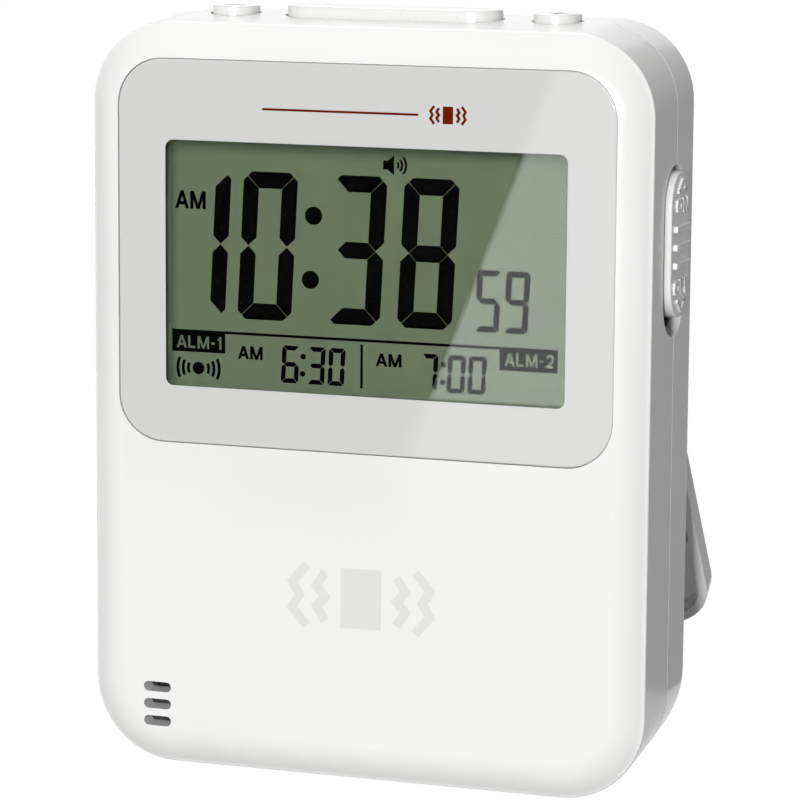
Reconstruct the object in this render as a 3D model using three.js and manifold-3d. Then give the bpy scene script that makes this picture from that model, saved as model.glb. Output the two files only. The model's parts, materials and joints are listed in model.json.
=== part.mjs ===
import * as THREE from "three";
import { mergeVertices } from "three/addons/utils/BufferGeometryUtils.js";
import Module from "manifold-3d";

const wasm = await Module();
wasm.setup();

// Sizes in millimetres. X is to the right, Z is up, depths are measured back from the front face.

// Clearances
const fit = 0.3; // between pieces that rest on or slide past each other
const bore = 0.1; // round pins, shafts and screws
const partingGap = 0.3; // between the two shells

// Housing shells
const bodyWidth = 77;
const bodyHeight = 100.45; // at the parting plane, where the top is highest
const bodyDepth = 23.4;
const frontDepth = 12.75; // front face to the parting plane
const cornerRadius = 10.8; // upper corners
const lowerCorner = 11.3; // at the front edge
const cornerSweep = 3.3; // lower corners grow by this towards the back
const crownWidth = 5; // soft border of the front face
const crownDepth = 2.1;
const edgeRound = 0.35;
const rearFillet = 1.5;
const sideDraft = 0.3;
const frontDraft = 0.1;
const topDraft = 1.05;
const wall = 2;
const rearWall = 2;
const lipDepth = 1.3;
const lipWall = 0.9;

// Display
const windowSideMargin = 4.45; // housing side to the window
const windowHeight = 50.8;
const windowCorner = 6.2;
const windowThickness = 1.2;
const windowRecess = 0.15;
const windowTopMargin = 5.5;
const windowLedge = 1;
const viewSideMargin = 6.4; // window side to the view
const viewHeight = 32.6;
const viewTopMargin = 10.6; // window top to the top of the view
const glassBorderX = 2.4;
const glassBorderZ = 3;
const glassThickness = 1.6;
const holderWall = 1.2;
const boardThickness = 1;
const boardSide = 2; // board beyond the holder at the sides
const boardFoot = 5; // board below the holder

// Batteries and their door
const cellDiameter = 10.5;
const cellLength = 44.5;
const cellSpacing = 0.8;
const contactThickness = 0.4;
const contactLength = 5.5;
const contactWire = 0.6;
const contactTurns = 3.5;
const bayFloor = 0.8;
const bayLap = 1.6; // ledge under the door
const bayWall = 1.1;
const bayRise = 0.7; // bay centre above the view centre
const doorThickness = 1.45;
const hookWidth = 6;
const hookSpacing = 28;
const doorGripWidth = 14;

// Top buttons
const roundButton = 6.3;
const roundRise = 0.95;
const roundInset = 16.2; // housing side to the middle of a round button
const snoozeLength = 29.5;
const snoozeWidth = 7.6;
const snoozeRise = 1.2;
const buttonFlange = 1;
const buttonTravel = 0.6;
const stemSize = 2.4;
const switchSize = 6;
const switchPlunger = 0.8;

// Set buttons on the back
const setButton = 5;
const setProud = 0.6;
const setOffset = 11;
const setTravel = 0.6;
const setSwitch = 4.5;
const setSwitchDepth = 3.4;

// On and off slide
const recessLength = 22.2;
const recessWidth = 10.8;
const recessDepth = 1.2;
const recessTopMargin = 18.15; // housing top to the top of the recess
const capLength = 19.05;
const capTopGap = 0.8; // recess top to the cap at rest
const capWidth = 9;
const capProud = 1;
const capRound = 0.5;
const gripCount = 3;
const gripPitch = 2.4;
const gripLength = 6.2;
const gripThick = 0.85;
const gripHeight = 0.65;
const shankWidth = 2.4;
const shankHeight = 4;
const slideBodyWidth = 3.5;
const slideBodyHeight = 12;
const slideKnob = 1.6;

// Buzzer behind the sound slots
const slotCount = 3;
const slotWidth = 3.9;
const slotHeight = 1.35;
const slotPitch = 2.35;
const slotFromSide = 9.78;
const slotFromBase = 8.26;
const buzzerDiameter = 12.6;
const buzzerHeight = 5;
const buzzerRing = 1;

// Vibration motor
const motorSpace = 3.1; // kept free in front of the motor and behind it
const motorLength = 17;
const motorRaise = 1.95; // shaft above the middle of the space below the board
const shaftDiameter = 2;
const shaftLength = 6.4;
const weightProud = 1; // weight beyond the motor's radius
const weightLength = 5;
const clampWall = 1.2;
const clampWidth = 6;
const clampSpread = 10.5;
const cradleWall = 1.6;

// Clip on the back
const clipSideMargin = 1.5; // housing side to the lever
const clipAngle = 37.2; // lean of the lever at rest, in degrees
const pivotBehind = 3.8; // pin behind the back face
const pivotHeight = 33.5;
const handleLength = 25.75;
const leverDepth = 2.95;
const leverPlate = 1.5;
const leverRim = 1.25;
const rimOffset = 2.25; // pin to the rim plane
const leverCorner = 9;
const jawLength = 13.5;
const jawSolid = 5.5;
const ribBelow = 4.9;
const ribWall = 0.8;
const pinDiameter = 2;
const eyeRadius = 2.4;
const eyeWall = 1.8;
const earInset = 6; // lever side to the middle of its ear
const innerLugOffset = 9.5;
const springWire = 0.7;
const springTurns = 5.34;
const springLength = 9;

// Screws
const screwShank = 2;
const screwHead = 4;
const screwHeadHeight = 1.1;
const screwSeat = 0.5;
const screwPost = 5.2;
const upperScrewInset = 6.65;
const upperScrewMargin = 7.8;
const lowerScrewInset = 21.65;
const lowerScrewHeight = 7;
const boardScrewInset = 9.55;
const smallPost = 4.4;
const smallHead = 3.6;

// Depth stack
const windowBack = windowRecess + windowThickness;
const pocketFloor = windowBack + fit;
const frontWall = pocketFloor + windowLedge;
const glassBack = pocketFloor + glassThickness;
const doorFront = bodyDepth - doorThickness;
const cellDepth = doorFront - fit - cellDiameter / 2;
const bayFloorFront = cellDepth - cellDiameter / 2 - fit - bayFloor;
const boardBack = bayFloorFront - fit;
const boardFront = boardBack - boardThickness;
const innerBack = bodyDepth - rearWall;
const buttonRow = frontDepth;

// Widths
const windowWidth = bodyWidth - 2 * windowSideMargin;
const viewWidth = windowWidth - 2 * viewSideMargin;
const clipWidth = bodyWidth - 2 * clipSideMargin;
const earOffset = clipWidth / 2 - earInset;
const roundOffset = bodyWidth / 2 - roundInset;
const upperScrewX = bodyWidth / 2 - upperScrewInset;
const lowerScrewX = bodyWidth / 2 - lowerScrewInset;
const motorDiameter = innerBack - frontWall - 2 * motorSpace;
const weightRadius = motorDiameter / 2 + weightProud;

// Heights
const windowHeightAt = bodyHeight - windowTopMargin - windowHeight / 2;
const viewAt = bodyHeight - windowTopMargin - viewTopMargin - viewHeight / 2;
const glassWidth = viewWidth + 2 * glassBorderX;
const glassHeight = viewHeight + 2 * glassBorderZ;
const holderWidth = glassWidth + 2 * (fit + holderWall);
const holderHeight = glassHeight + 2 * (fit + holderWall);
const boardTop = viewAt + holderHeight / 2 + fit;
const boardBottom = viewAt - holderHeight / 2 - boardFoot;
const boardHalf = holderWidth / 2 + boardSide;
const boardScrewX = boardHalf - boardScrewInset;
const motorHeight = (wall + boardBottom) / 2 + motorRaise;
const innerTop = bodyHeight - wall - topDraft;
const bayAt = viewAt + bayRise;
const bayHalf = (cellLength + contactLength) / 2 + contactThickness + 2 * fit;
const bayRiseHalf = cellDiameter + cellSpacing / 2 + fit;
const doorHalf = bayHalf + bayLap;
const doorRiseHalf = bayRiseHalf + bayLap;
const doorBottom = bayAt - doorRiseHalf;

// Outlines
function roundRect(width, height, radius, x = 0, y = 0, steps = 4, lower = radius) {
  const points = [];
  for (let corner = 0; corner < 4; corner += 1) {
    const right = corner === 0 || corner === 3 ? 1 : -1;
    const up = corner < 2 ? 1 : -1;
    const bend = corner < 2 ? radius : lower;
    for (let step = 0; step <= steps; step += 1) {
      const angle = (corner + step / steps) * Math.PI / 2;
      points.push(new THREE.Vector2(
        x + right * (width / 2 - bend) + bend * Math.cos(angle),
        y + up * (height / 2 - bend) + bend * Math.sin(angle),
      ));
    }
  }
  return points;
}

function pill(width, height, x = 0, y = 0, steps = 6) {
  const radius = Math.min(width, height) / 2 - 0.001;
  return roundRect(width, height, radius, x, y, steps);
}

function disc(radius, x = 0, y = 0, sides = 20) {
  return Array.from({ length: sides }, (_, side) => {
    const angle = side * 2 * Math.PI / sides;
    return new THREE.Vector2(x + radius * Math.cos(angle), y + radius * Math.sin(angle));
  });
}

// A lug outline: a round end at the origin and straight flanks that run to a root along +x
function eyeOutline(radius, root, flare = 0, steps = 10) {
  const points = [];
  for (let step = 0; step <= steps; step += 1) {
    const angle = Math.PI / 2 + step * Math.PI / steps;
    points.push(new THREE.Vector2(radius * Math.cos(angle), radius * Math.sin(angle)));
  }
  points.push(new THREE.Vector2(root, -radius - flare));
  points.push(new THREE.Vector2(root, radius + flare));
  return points;
}

// Solids
function solid(geometry) {
  const bare = new THREE.BufferGeometry();
  bare.setAttribute("position", geometry.getAttribute("position"));
  bare.setIndex(geometry.getIndex());
  const merged = mergeVertices(bare, 1e-5);
  const mesh = new wasm.Mesh({
    numProp: 3,
    vertProperties: new Float32Array(merged.getAttribute("position").array),
    triVerts: new Uint32Array(merged.getIndex().array),
  });
  mesh.merge();
  return new wasm.Manifold(mesh);
}

function extrude(points, length) {
  const shape = new THREE.Shape(points);
  return new THREE.ExtrudeGeometry(shape, { depth: length, bevelEnabled: false });
}

const toFrame = -bodyDepth / 2;

// Outline in (x, z), extruded through a range of depth
function prismY(points, front, back) {
  return solid(extrude(points, back - front).rotateX(Math.PI / 2).translate(0, back + toFrame, 0));
}

// Outline in (x, depth), extruded through a range of height
function prismZ(points, low, high) {
  return solid(extrude(points, high - low).translate(0, toFrame, low));
}

// Outline in (depth, z), extruded from left to right
function prismX(points, left, right) {
  const turn = new THREE.Matrix4().makeBasis(
    new THREE.Vector3(0, 1, 0),
    new THREE.Vector3(0, 0, 1),
    new THREE.Vector3(1, 0, 0),
  );
  return solid(extrude(points, right - left).applyMatrix4(turn).translate(left, toFrame, 0));
}

function block(left, right, front, back, low, high) {
  const geometry = new THREE.BoxGeometry(right - left, back - front, high - low);
  return solid(geometry.translate((left + right) / 2, (front + back) / 2 + toFrame, (low + high) / 2));
}

function rodY(radius, front, back, x, z, sides = 20) {
  const geometry = new THREE.CylinderGeometry(radius, radius, back - front, sides);
  return solid(geometry.translate(x, (front + back) / 2 + toFrame, z));
}

function rodX(radius, left, right, depth, z, sides = 20) {
  const geometry = new THREE.CylinderGeometry(radius, radius, right - left, sides);
  return solid(geometry.rotateZ(Math.PI / 2).translate((left + right) / 2, depth + toFrame, z));
}

function rodZ(radius, low, high, x, depth, sides = 20) {
  const geometry = new THREE.CylinderGeometry(radius, radius, high - low, sides);
  return solid(geometry.rotateX(Math.PI / 2).translate(x, depth + toFrame, (low + high) / 2));
}

// A wire along a line of points, as one closed tube
function wire(points, radius) {
  const path = new THREE.CatmullRomCurve3(points, false, "centripetal");
  const section = new THREE.Shape(disc(radius, 0, 0, 5));
  return solid(new THREE.ExtrudeGeometry(section, {
    steps: points.length - 1,
    extrudePath: path,
    bevelEnabled: false,
  }));
}

function add(...solids) {
  return solids.reduce((sum, next) => sum.add(next));
}

function cut(base, ...tools) {
  return tools.reduce((rest, tool) => rest.subtract(tool), base);
}

// A closed body through rings of equal point count, each ring an outline in (x, z) at one depth
function loft(rings) {
  const count = rings[0].points.length;
  const positions = [];
  const index = [];
  rings.forEach((ring) => {
    ring.points.forEach((point) => positions.push(point.x, ring.depth + toFrame, point.y));
  });
  for (let ring = 0; ring + 1 < rings.length; ring += 1) {
    for (let side = 0; side < count; side += 1) {
      const a = ring * count + side;
      const b = ring * count + (side + 1) % count;
      index.push(a, a + count, b + count, a, b + count, b);
    }
  }
  const last = (rings.length - 1) * count;
  THREE.ShapeUtils.triangulateShape(rings[0].points, []).forEach(([a, b, c]) => {
    index.push(a, b, c, last + c, last + b, last + a);
  });
  const geometry = new THREE.BufferGeometry();
  geometry.setAttribute("position", new THREE.Float32BufferAttribute(positions, 3));
  geometry.setIndex(index);
  return solid(geometry);
}

// Finishes
function finish(color, roughness, metalness = 0) {
  return () => new THREE.MeshStandardMaterial({ color, roughness, metalness });
}

const whitePlastic = finish(0xeeeeec, 0.45);
const buttonPlastic = finish(0xf2f2f0, 0.4);
const greyWindow = finish(0xc9cbca, 0.1);
const lcdGlass = finish(0x67755d, 0.25);
const clearGuide = finish(0xdfe6dc, 0.3);
const innerPlastic = finish(0xd8d8d4, 0.6);
const boardLaminate = finish(0x2f5d3a, 0.6);
const blackResin = finish(0x1c1c1e, 0.6);
const blackRubber = finish(0x2a2a2a, 0.8);
const steel = finish(0xb9bbbe, 0.35, 1);
const brass = finish(0xb49a5a, 0.35, 1);
const cellJacket = finish(0x8e9398, 0.35, 0.6);

const part = new THREE.Group();
part.name = "vibrating_alarm_clock";

function piece(name, body, look, parent = part) {
  const result = body.getMesh();
  const geometry = new THREE.BufferGeometry();
  geometry.setAttribute("position", new THREE.BufferAttribute(new Float32Array(result.vertProperties), 3));
  geometry.setIndex(new THREE.BufferAttribute(new Uint32Array(result.triVerts), 1));
  const flat = geometry.toNonIndexed();
  flat.computeVertexNormals();
  const mesh = new THREE.Mesh(flat, look());
  mesh.name = name;
  parent.add(mesh);
  return mesh;
}

// Whole housing, split later at the parting plane
function bodyOutline(inset, side, top, lower) {
  const points = [];
  const width = bodyWidth - 2 * (inset + side);
  const upper = cornerRadius - inset - side;
  [[1, upper, top - upper], [-1, upper, top - upper], [-1, lower, inset + lower], [1, lower, inset + lower]]
    .forEach(([way, radius, z], corner) => {
      for (let step = 0; step <= 8; step += 1) {
        const angle = (corner + step / 8) * Math.PI / 2;
        points.push(new THREE.Vector2(
          way * (width / 2 - radius) + radius * Math.cos(angle), z + radius * Math.sin(angle),
        ));
      }
    });
  return points;
}

// The lower corners open out from the front edge to the back
function lowerAt(depth) {
  const edge = crownDepth + edgeRound;
  return lowerCorner + cornerSweep * Math.max(0, depth - edge) / (bodyDepth - edge);
}

// In front of the parting plane the sides and the top come in towards the front face
function frontRing(depth, inset) {
  const share = 1 - depth / frontDepth;
  const side = frontDraft * share;
  const top = bodyHeight - topDraft * share - inset;
  return { depth, points: bodyOutline(inset, side, top, lowerAt(depth) - inset - side) };
}

// Behind it the sides come in and the top stays level
function rearRing(depth, inset) {
  const share = (depth - frontDepth) / (bodyDepth - frontDepth);
  const side = sideDraft * share;
  return { depth, points: bodyOutline(inset, side, bodyHeight - inset, lowerAt(depth) - inset - side) };
}

function bodyRings(steps = 4) {
  const rings = [];
  for (let step = 0; step <= steps; step += 1) {
    const reach = step / steps;
    rings.push(frontRing(crownDepth * reach ** 2, edgeRound + (crownWidth - edgeRound) * (1 - reach)));
  }
  rings.push(frontRing(crownDepth + edgeRound, 0));
  rings.push(frontRing(frontDepth, 0));
  for (let step = steps; step >= 0; step -= 1) {
    const angle = step / steps * Math.PI / 2;
    rings.push(rearRing(bodyDepth - rearFillet * (1 - Math.cos(angle)), rearFillet * (1 - Math.sin(angle))));
  }
  return rings;
}

const innerWidth = bodyWidth - 2 * (wall + sideDraft);
const innerCorner = cornerRadius - wall - sideDraft;
const innerLower = lowerCorner - sideDraft;

function innerOutline(grow = 0) {
  const height = innerTop - wall + 2 * grow;
  const middle = (innerTop + wall) / 2;
  return roundRect(innerWidth + 2 * grow, height, innerCorner + grow, 0, middle, 6, innerLower + grow);
}

const topButtons = [
  { name: "minus", x: -roundOffset, length: roundButton, width: roundButton, rise: roundRise },
  { name: "snooze", x: 0, length: snoozeLength, width: snoozeWidth, rise: snoozeRise },
  { name: "plus", x: roundOffset, length: roundButton, width: roundButton, rise: roundRise },
];

function buttonOutline(button, grow) {
  return pill(button.length + 2 * grow, button.width + 2 * grow, button.x, buttonRow);
}

const recessTop = bodyHeight - recessTopMargin;
const recessAt = recessTop - recessLength / 2;
const recessFloor = bodyWidth / 2 - recessDepth;
const slideTravel = recessLength - capLength - capTopGap - fit;
const capAt = recessTop - capTopGap - capLength / 2;

const shellOpenings = topButtons.map((button) => (
  prismZ(buttonOutline(button, fit), innerTop - wall, bodyHeight + wall)
));
shellOpenings.push(prismX(pill(recessWidth, recessLength, frontDepth, recessAt), recessFloor, bodyWidth));
shellOpenings.push(block(
  innerWidth / 2 - wall, bodyWidth / 2,
  frontDepth - shankWidth / 2 - fit, frontDepth + shankWidth / 2 + fit,
  capAt - shankHeight / 2 - slideTravel - fit, capAt + shankHeight / 2 + fit,
));

const hollow = prismY(innerOutline(), frontWall, innerBack);
const shell = cut(loft(bodyRings()), hollow);
const frontSpace = block(
  -bodyWidth, bodyWidth, -bodyDepth, frontDepth + partingGap / 2, -bodyHeight, 2 * bodyHeight,
);
const rearSpace = block(
  -bodyWidth, bodyWidth, frontDepth - partingGap / 2, 3 * bodyDepth, -bodyHeight, 2 * bodyHeight,
);
const lipBreak = block(
  innerWidth / 2 - wall, bodyWidth, frontDepth - partingGap / 2, frontDepth + 2 * lipDepth,
  recessAt - recessLength / 2 - wall, recessTop + wall,
);

// Screws and the posts they bite into
const housingScrews = [
  { name: "upper_left", x: -upperScrewX, z: bodyHeight - upperScrewMargin },
  { name: "upper_right", x: upperScrewX, z: bodyHeight - upperScrewMargin },
  { name: "lower_left", x: -lowerScrewX, z: lowerScrewHeight },
  { name: "lower_right", x: lowerScrewX, z: lowerScrewHeight },
];
const screwHeadFront = innerBack + screwSeat + fit;
const postEnd = innerBack - fit;
const screwEngage = 7;

function screw(x, z, headFront, headRadius, length) {
  const slotWide = headRadius * 0.3;
  const head = rodY(headRadius, headFront, headFront + screwHeadHeight, x, z, 16);
  const drive = (wide, tall) => block(
    x - wide / 2, x + wide / 2,
    headFront + screwHeadHeight / 2, headFront + 2 * screwHeadHeight, z - tall / 2, z + tall / 2,
  );
  const shank = rodY(screwShank / 2, headFront - length, headFront + screwHeadHeight / 4, x, z, 10);
  return cut(add(head, shank), drive(slotWide, headRadius * 1.2), drive(headRadius * 1.2, slotWide));
}

function post(x, z, diameter, end) {
  return rodY(diameter / 2, frontWall - windowLedge / 2, end, x, z, 16);
}

function pilot(x, z, end, depth) {
  return rodY(screwShank / 2 + bore, end - depth, end + fit, x, z, 10);
}

// Motor cradle and clamp
const motorDepth = (frontWall + innerBack) / 2;
const motorLeft = -motorLength / 8;
const motorRight = motorLeft + motorLength;
const clampAt = (motorLeft + motorRight) / 2;
const clampSeat = motorDepth - fit;
const cradleRibs = [motorLeft + cradleWall, motorRight - cradleWall].map((x) => block(
  x - cradleWall / 2, x + cradleWall / 2, frontWall - windowLedge / 2, motorDepth,
  motorHeight - motorDiameter / 2 - cradleWall, motorHeight + motorDiameter / 2 + cradleWall,
));
const clampPosts = [-1, 1].map((side) => ({ x: clampAt, z: motorHeight + side * clampSpread }));
const boardPostAt = boardBottom + smallPost / 2 + fit;
const boardPosts = [-1, 1].map((side) => ({ x: side * boardScrewX, z: boardPostAt }));
const boardPostEnd = boardFront - fit;
const buzzerX = -bodyWidth / 2 + slotFromSide + fit;
const buzzerZ = slotFromBase + buzzerDiameter / 8;
const buzzerFront = frontWall + fit;
const buzzerHold = buzzerDiameter / 2 + fit;

// Front shell
const lip = cut(
  prismY(innerOutline(lipWall - fit), frontDepth - lipDepth, frontDepth + lipDepth),
  prismY(innerOutline(), 0, bodyDepth),
  lipBreak,
);
let frontHousing = add(
  cut(shell, rearSpace),
  lip,
  ...cradleRibs,
  rodY(buzzerHold + buzzerRing, frontWall - windowLedge / 2, buzzerFront + buzzerHeight / 2, buzzerX, buzzerZ),
  ...housingScrews.map(({ x, z }) => post(x, z, screwPost, postEnd)),
  ...clampPosts.map(({ x, z }) => post(x, z, screwPost, clampSeat - fit)),
  ...boardPosts.map(({ x, z }) => post(x, z, smallPost, boardPostEnd)),
);
const windowPocket = roundRect(
  windowWidth + 2 * fit, windowHeight + 2 * fit, windowCorner + fit, 0, windowHeightAt, 6,
);
const glassOpening = roundRect(glassWidth + 2 * fit, glassHeight + 2 * fit, 1, 0, viewAt, 2);
const slots = Array.from({ length: slotCount }, (_, row) => {
  const z = slotFromBase + (row - (slotCount - 1) / 2) * slotPitch;
  return prismY(pill(slotWidth, slotHeight, -bodyWidth / 2 + slotFromSide, z, 3), -1, frontWall + 1);
});
frontHousing = cut(
  frontHousing,
  ...shellOpenings,
  prismY(windowPocket, -1, pocketFloor),
  prismY(glassOpening, -1, frontWall + 1),
  rodY(buzzerHold, frontWall, bodyDepth, buzzerX, buzzerZ),
  rodX(motorDiameter / 2 + fit, motorLeft - 1, motorRight + 1, motorDepth, motorHeight),
  ...slots,
  ...housingScrews.map(({ x, z }) => pilot(x, z, postEnd, screwEngage + fit)),
  ...clampPosts.map(({ x, z }) => pilot(x, z, clampSeat - fit, screwEngage / 2 + 2 * fit)),
  ...boardPosts.map(({ x, z }) => pilot(x, z, boardPostEnd, boardPostEnd - frontWall)),
);
piece("front_housing", frontHousing, whitePlastic);

// Rear shell with the battery bay and the clip lugs
const pivotDepth = bodyDepth + pivotBehind;
const lugRoot = rearWall / 2 + pivotBehind;
const lugOffsets = [earOffset - eyeWall - fit, innerLugOffset];
const lugs = lugOffsets.flatMap((offset) => [-1, 1].map((side) => {
  const outline = eyeOutline(eyeRadius, lugRoot, fit).map((point) => (
    new THREE.Vector2(pivotDepth - point.x, pivotHeight - point.y)
  ));
  return prismX(outline, side * offset - eyeWall / 2, side * offset + eyeWall / 2);
}));
const tubHalf = doorHalf + fit + bayWall;
const tubRise = doorRiseHalf + fit + bayWall;
const tub = block(
  -tubHalf, tubHalf, bayFloorFront, innerBack + rearWall / 2, bayAt - tubRise, bayAt + tubRise,
);
const hookAxis = { depth: bodyDepth - 0.45, z: doorBottom + 0.5 };
const hookReach = 1.3;
const hookWall = 0.8;
const hookFront = innerBack - fit - hookWall;
const hooks = [-1, 1].map((side) => side * hookSpacing / 2);
const hookPockets = hooks.flatMap((x) => [
  block(
    x - hookWidth / 2 - fit, x + hookWidth / 2 + fit, hookFront - 2 * hookReach, innerBack,
    doorBottom - hookReach - 2 * fit, doorBottom + bayLap + 1,
  ),
  block(
    x - hookWidth / 2 - fit, x + hookWidth / 2 + fit, innerBack - fit, doorFront,
    doorBottom - fit / 2, doorBottom + bayLap + 1,
  ),
]);
const setHeight = boardTop - setSwitch / 2;
const setButtons = [
  { name: "time_set", x: -setOffset },
  { name: "alarm_set", x: setOffset },
];
const rebate = cut(
  prismY(innerOutline(lipWall), 0, frontDepth + lipDepth + fit),
  lipBreak,
);
const rearHousing = cut(
  add(cut(shell, frontSpace, rebate, ...shellOpenings), tub, ...lugs),
  block(-bayHalf, bayHalf, bayFloorFront + bayFloor, 2 * bodyDepth, bayAt - bayRiseHalf, bayAt + bayRiseHalf),
  prismY(
    roundRect(2 * (doorHalf + fit), 2 * (doorRiseHalf + fit), 1.5, 0, bayAt, 3),
    doorFront - fit, 2 * bodyDepth,
  ),
  ...hookPockets,
  rodX(pinDiameter / 2 + bore, -clipWidth, clipWidth, pivotDepth, pivotHeight, 16),
  ...setButtons.map(({ x }) => rodY(setButton / 2 + fit, innerBack - 1, bodyDepth + 1, x, setHeight)),
  ...housingScrews.map(({ x, z }) => rodY(screwShank / 2 + bore, innerBack - 1, bodyDepth, x, z, 10)),
  ...housingScrews.map(({ x, z }) => (
    rodY(screwHead / 2 + fit, innerBack + screwSeat, bodyDepth + 1, x, z, 16)
  )),
);
piece("rear_housing", rearHousing, whitePlastic);

// Display
piece(
  "display_window",
  prismY(roundRect(windowWidth, windowHeight, windowCorner, 0, windowHeightAt, 6), windowRecess, windowBack),
  greyWindow,
);
piece(
  "lcd_glass",
  block(
    -glassWidth / 2, glassWidth / 2, pocketFloor, glassBack,
    viewAt - glassHeight / 2, viewAt + glassHeight / 2,
  ),
  lcdGlass,
);
const guideFront = glassBack + fit;
const guideBack = boardFront - fit;
const stripHeight = glassBorderZ - 2 * fit;
const guideLow = viewAt - glassHeight / 2 + stripHeight + 2 * fit;
piece(
  "light_guide",
  block(-glassWidth / 2, glassWidth / 2, guideFront, guideBack, guideLow, viewAt + glassHeight / 2),
  clearGuide,
);
piece(
  "contact_strip",
  block(
    -viewWidth / 2, viewWidth / 2, guideFront, guideBack,
    guideLow - fit - stripHeight, guideLow - fit,
  ),
  blackRubber,
);
piece(
  "lcd_holder",
  cut(
    block(
      -holderWidth / 2, holderWidth / 2, frontWall + fit, guideBack,
      viewAt - holderHeight / 2, viewAt + holderHeight / 2,
    ),
    block(
      -glassWidth / 2 - fit, glassWidth / 2 + fit, 0, bodyDepth,
      viewAt - glassHeight / 2 - fit, viewAt + glassHeight / 2 + fit,
    ),
  ),
  innerPlastic,
);

// Main board and what is soldered to it
piece(
  "main_board",
  cut(
    block(-boardHalf, boardHalf, boardFront, boardBack, boardBottom, boardTop),
    ...boardPosts.map(({ x, z }) => rodY(screwShank / 2 + bore, 0, bodyDepth, x, z, 10)),
  ),
  boardLaminate,
);
boardPosts.forEach(({ x, z }) => {
  const name = x < 0 ? "board_screw_left" : "board_screw_right";
  const length = boardThickness + fit + boardPostEnd - frontWall;
  piece(name, screw(x, z, boardBack + fit, smallHead / 2, length), steel);
});
const onBoard = boardBack + fit;
const lowOnBoard = boardPostAt + smallPost;
const chip = new THREE.SphereGeometry(3.6, 16, 6, 0, 2 * Math.PI, 0, Math.PI / 2);
const chipBase = new THREE.CylinderGeometry(3.6, 3.6, 0.3, 16);
piece(
  "chip_cover",
  add(
    solid(closeDome(chip).scale(1, 0.45, 1).translate(-12, onBoard + 0.3 + toFrame, lowOnBoard)),
    solid(chipBase.translate(-12, onBoard + 0.15 + toFrame, lowOnBoard)),
  ),
  blackResin,
);
piece("crystal", rodX(1, 8, 14, onBoard + 1, lowOnBoard, 12), steel);

// Closes the flat side of a half sphere
function closeDome(dome) {
  const bare = new THREE.BufferGeometry();
  bare.setAttribute("position", dome.getAttribute("position"));
  bare.setIndex(dome.getIndex());
  const merged = mergeVertices(bare, 1e-4);
  const place = merged.getAttribute("position");
  const index = Array.from(merged.getIndex().array).reduce((list, value, at, all) => {
    if (at % 3 === 0) {
      const [a, b, c] = [all[at], all[at + 1], all[at + 2]];
      if (a !== b && b !== c && c !== a) list.push(a, b, c);
    }
    return list;
  }, []);
  const edge = [];
  for (let point = 0; point < place.count; point += 1) {
    if (Math.abs(place.getY(point)) < 1e-4) edge.push(point);
  }
  edge.sort((a, b) => Math.atan2(place.getZ(a), place.getX(a)) - Math.atan2(place.getZ(b), place.getX(b)));
  for (let step = 1; step + 1 < edge.length; step += 1) index.push(edge[0], edge[step], edge[step + 1]);
  merged.setIndex(index);
  return merged;
}

// Top buttons, each over its press switch
const switchLow = boardTop - switchSize / 2;
const switchHigh = boardTop + switchSize / 3;
const stemLow = switchHigh + switchPlunger + buttonTravel + fit;
const flangeTop = innerTop - fit;
topButtons.forEach((button) => {
  const name = button.name === "snooze" ? "snooze_bar" : `${button.name}_button`;
  const top = bodyHeight + button.rise;
  piece(
    name,
    add(
      prismZ(buttonOutline(button, 0), flangeTop - buttonFlange / 2, top),
      prismZ(buttonOutline(button, buttonFlange), flangeTop - buttonFlange, flangeTop),
      rodZ(stemSize / 2, stemLow, flangeTop - buttonFlange / 2, button.x, buttonRow, 12),
    ),
    buttonPlastic,
  );
  piece(
    `${button.name}_switch`,
    add(
      block(
        button.x - switchSize / 2, button.x + switchSize / 2, onBoard, buttonRow + switchSize / 2,
        switchLow, switchHigh,
      ),
      rodZ(switchSize / 4, switchHigh - fit, switchHigh + switchPlunger, button.x, buttonRow, 12),
    ),
    blackResin,
  );
});

// Set buttons on the back, each over its press switch
const setPlunger = onBoard + setSwitchDepth + switchPlunger;
setButtons.forEach(({ name, x }) => {
  piece(
    `${name}_button`,
    add(
      rodY(setButton / 2, innerBack - fit - buttonFlange / 2, bodyDepth + setProud, x, setHeight),
      rodY(setButton / 2 + buttonFlange, innerBack - fit - buttonFlange, innerBack - fit, x, setHeight),
      rodY(stemSize / 2, setPlunger + setTravel + fit, innerBack - fit - buttonFlange / 2, x, setHeight, 12),
    ),
    buttonPlastic,
  );
  piece(
    `${name}_switch`,
    add(
      block(
        x - setSwitch / 2, x + setSwitch / 2, onBoard, onBoard + setSwitchDepth,
        setHeight - setSwitch / 2, setHeight + setSwitch / 2,
      ),
      rodY(setSwitch / 4, onBoard + setSwitchDepth - fit, setPlunger, x, setHeight, 12),
    ),
    blackResin,
  );
});

// On and off slide with the switch that it works
const capBack = recessFloor + fit;
const capFace = bodyWidth / 2 + capProud;
const slideBodyRight = boardHalf - fit;
const knobRight = slideBodyRight + fit + slideKnob;
function roundedCap(width, height, depth, round) {
  const shape = new THREE.Shape(pill(width - 2 * round, height - 2 * round, 0, 0, 5));
  return new THREE.ExtrudeGeometry(shape, {
    depth: depth - round,
    bevelThickness: round,
    bevelSize: round,
    bevelSegments: 2,
  });
}
const capTurn = new THREE.Matrix4().makeBasis(
  new THREE.Vector3(0, 1, 0),
  new THREE.Vector3(0, 0, 1),
  new THREE.Vector3(1, 0, 0),
);
const capBody = solid(
  roundedCap(capWidth, capLength, capFace - capBack, capRound)
    .applyMatrix4(capTurn)
    .translate(capBack, frontDepth + toFrame, capAt),
);
const belowCap = block(
  capBack - 2 * capRound, capBack, 0, bodyDepth, capAt - capLength, capAt + capLength,
);
const grips = Array.from({ length: gripCount }, (_, row) => {
  const z = capAt - fit + (row - (gripCount - 1) / 2) * gripPitch;
  return prismX(
    pill(gripLength, gripThick, frontDepth, z, 2), capFace - capRound, capFace + gripHeight,
  );
});
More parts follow.
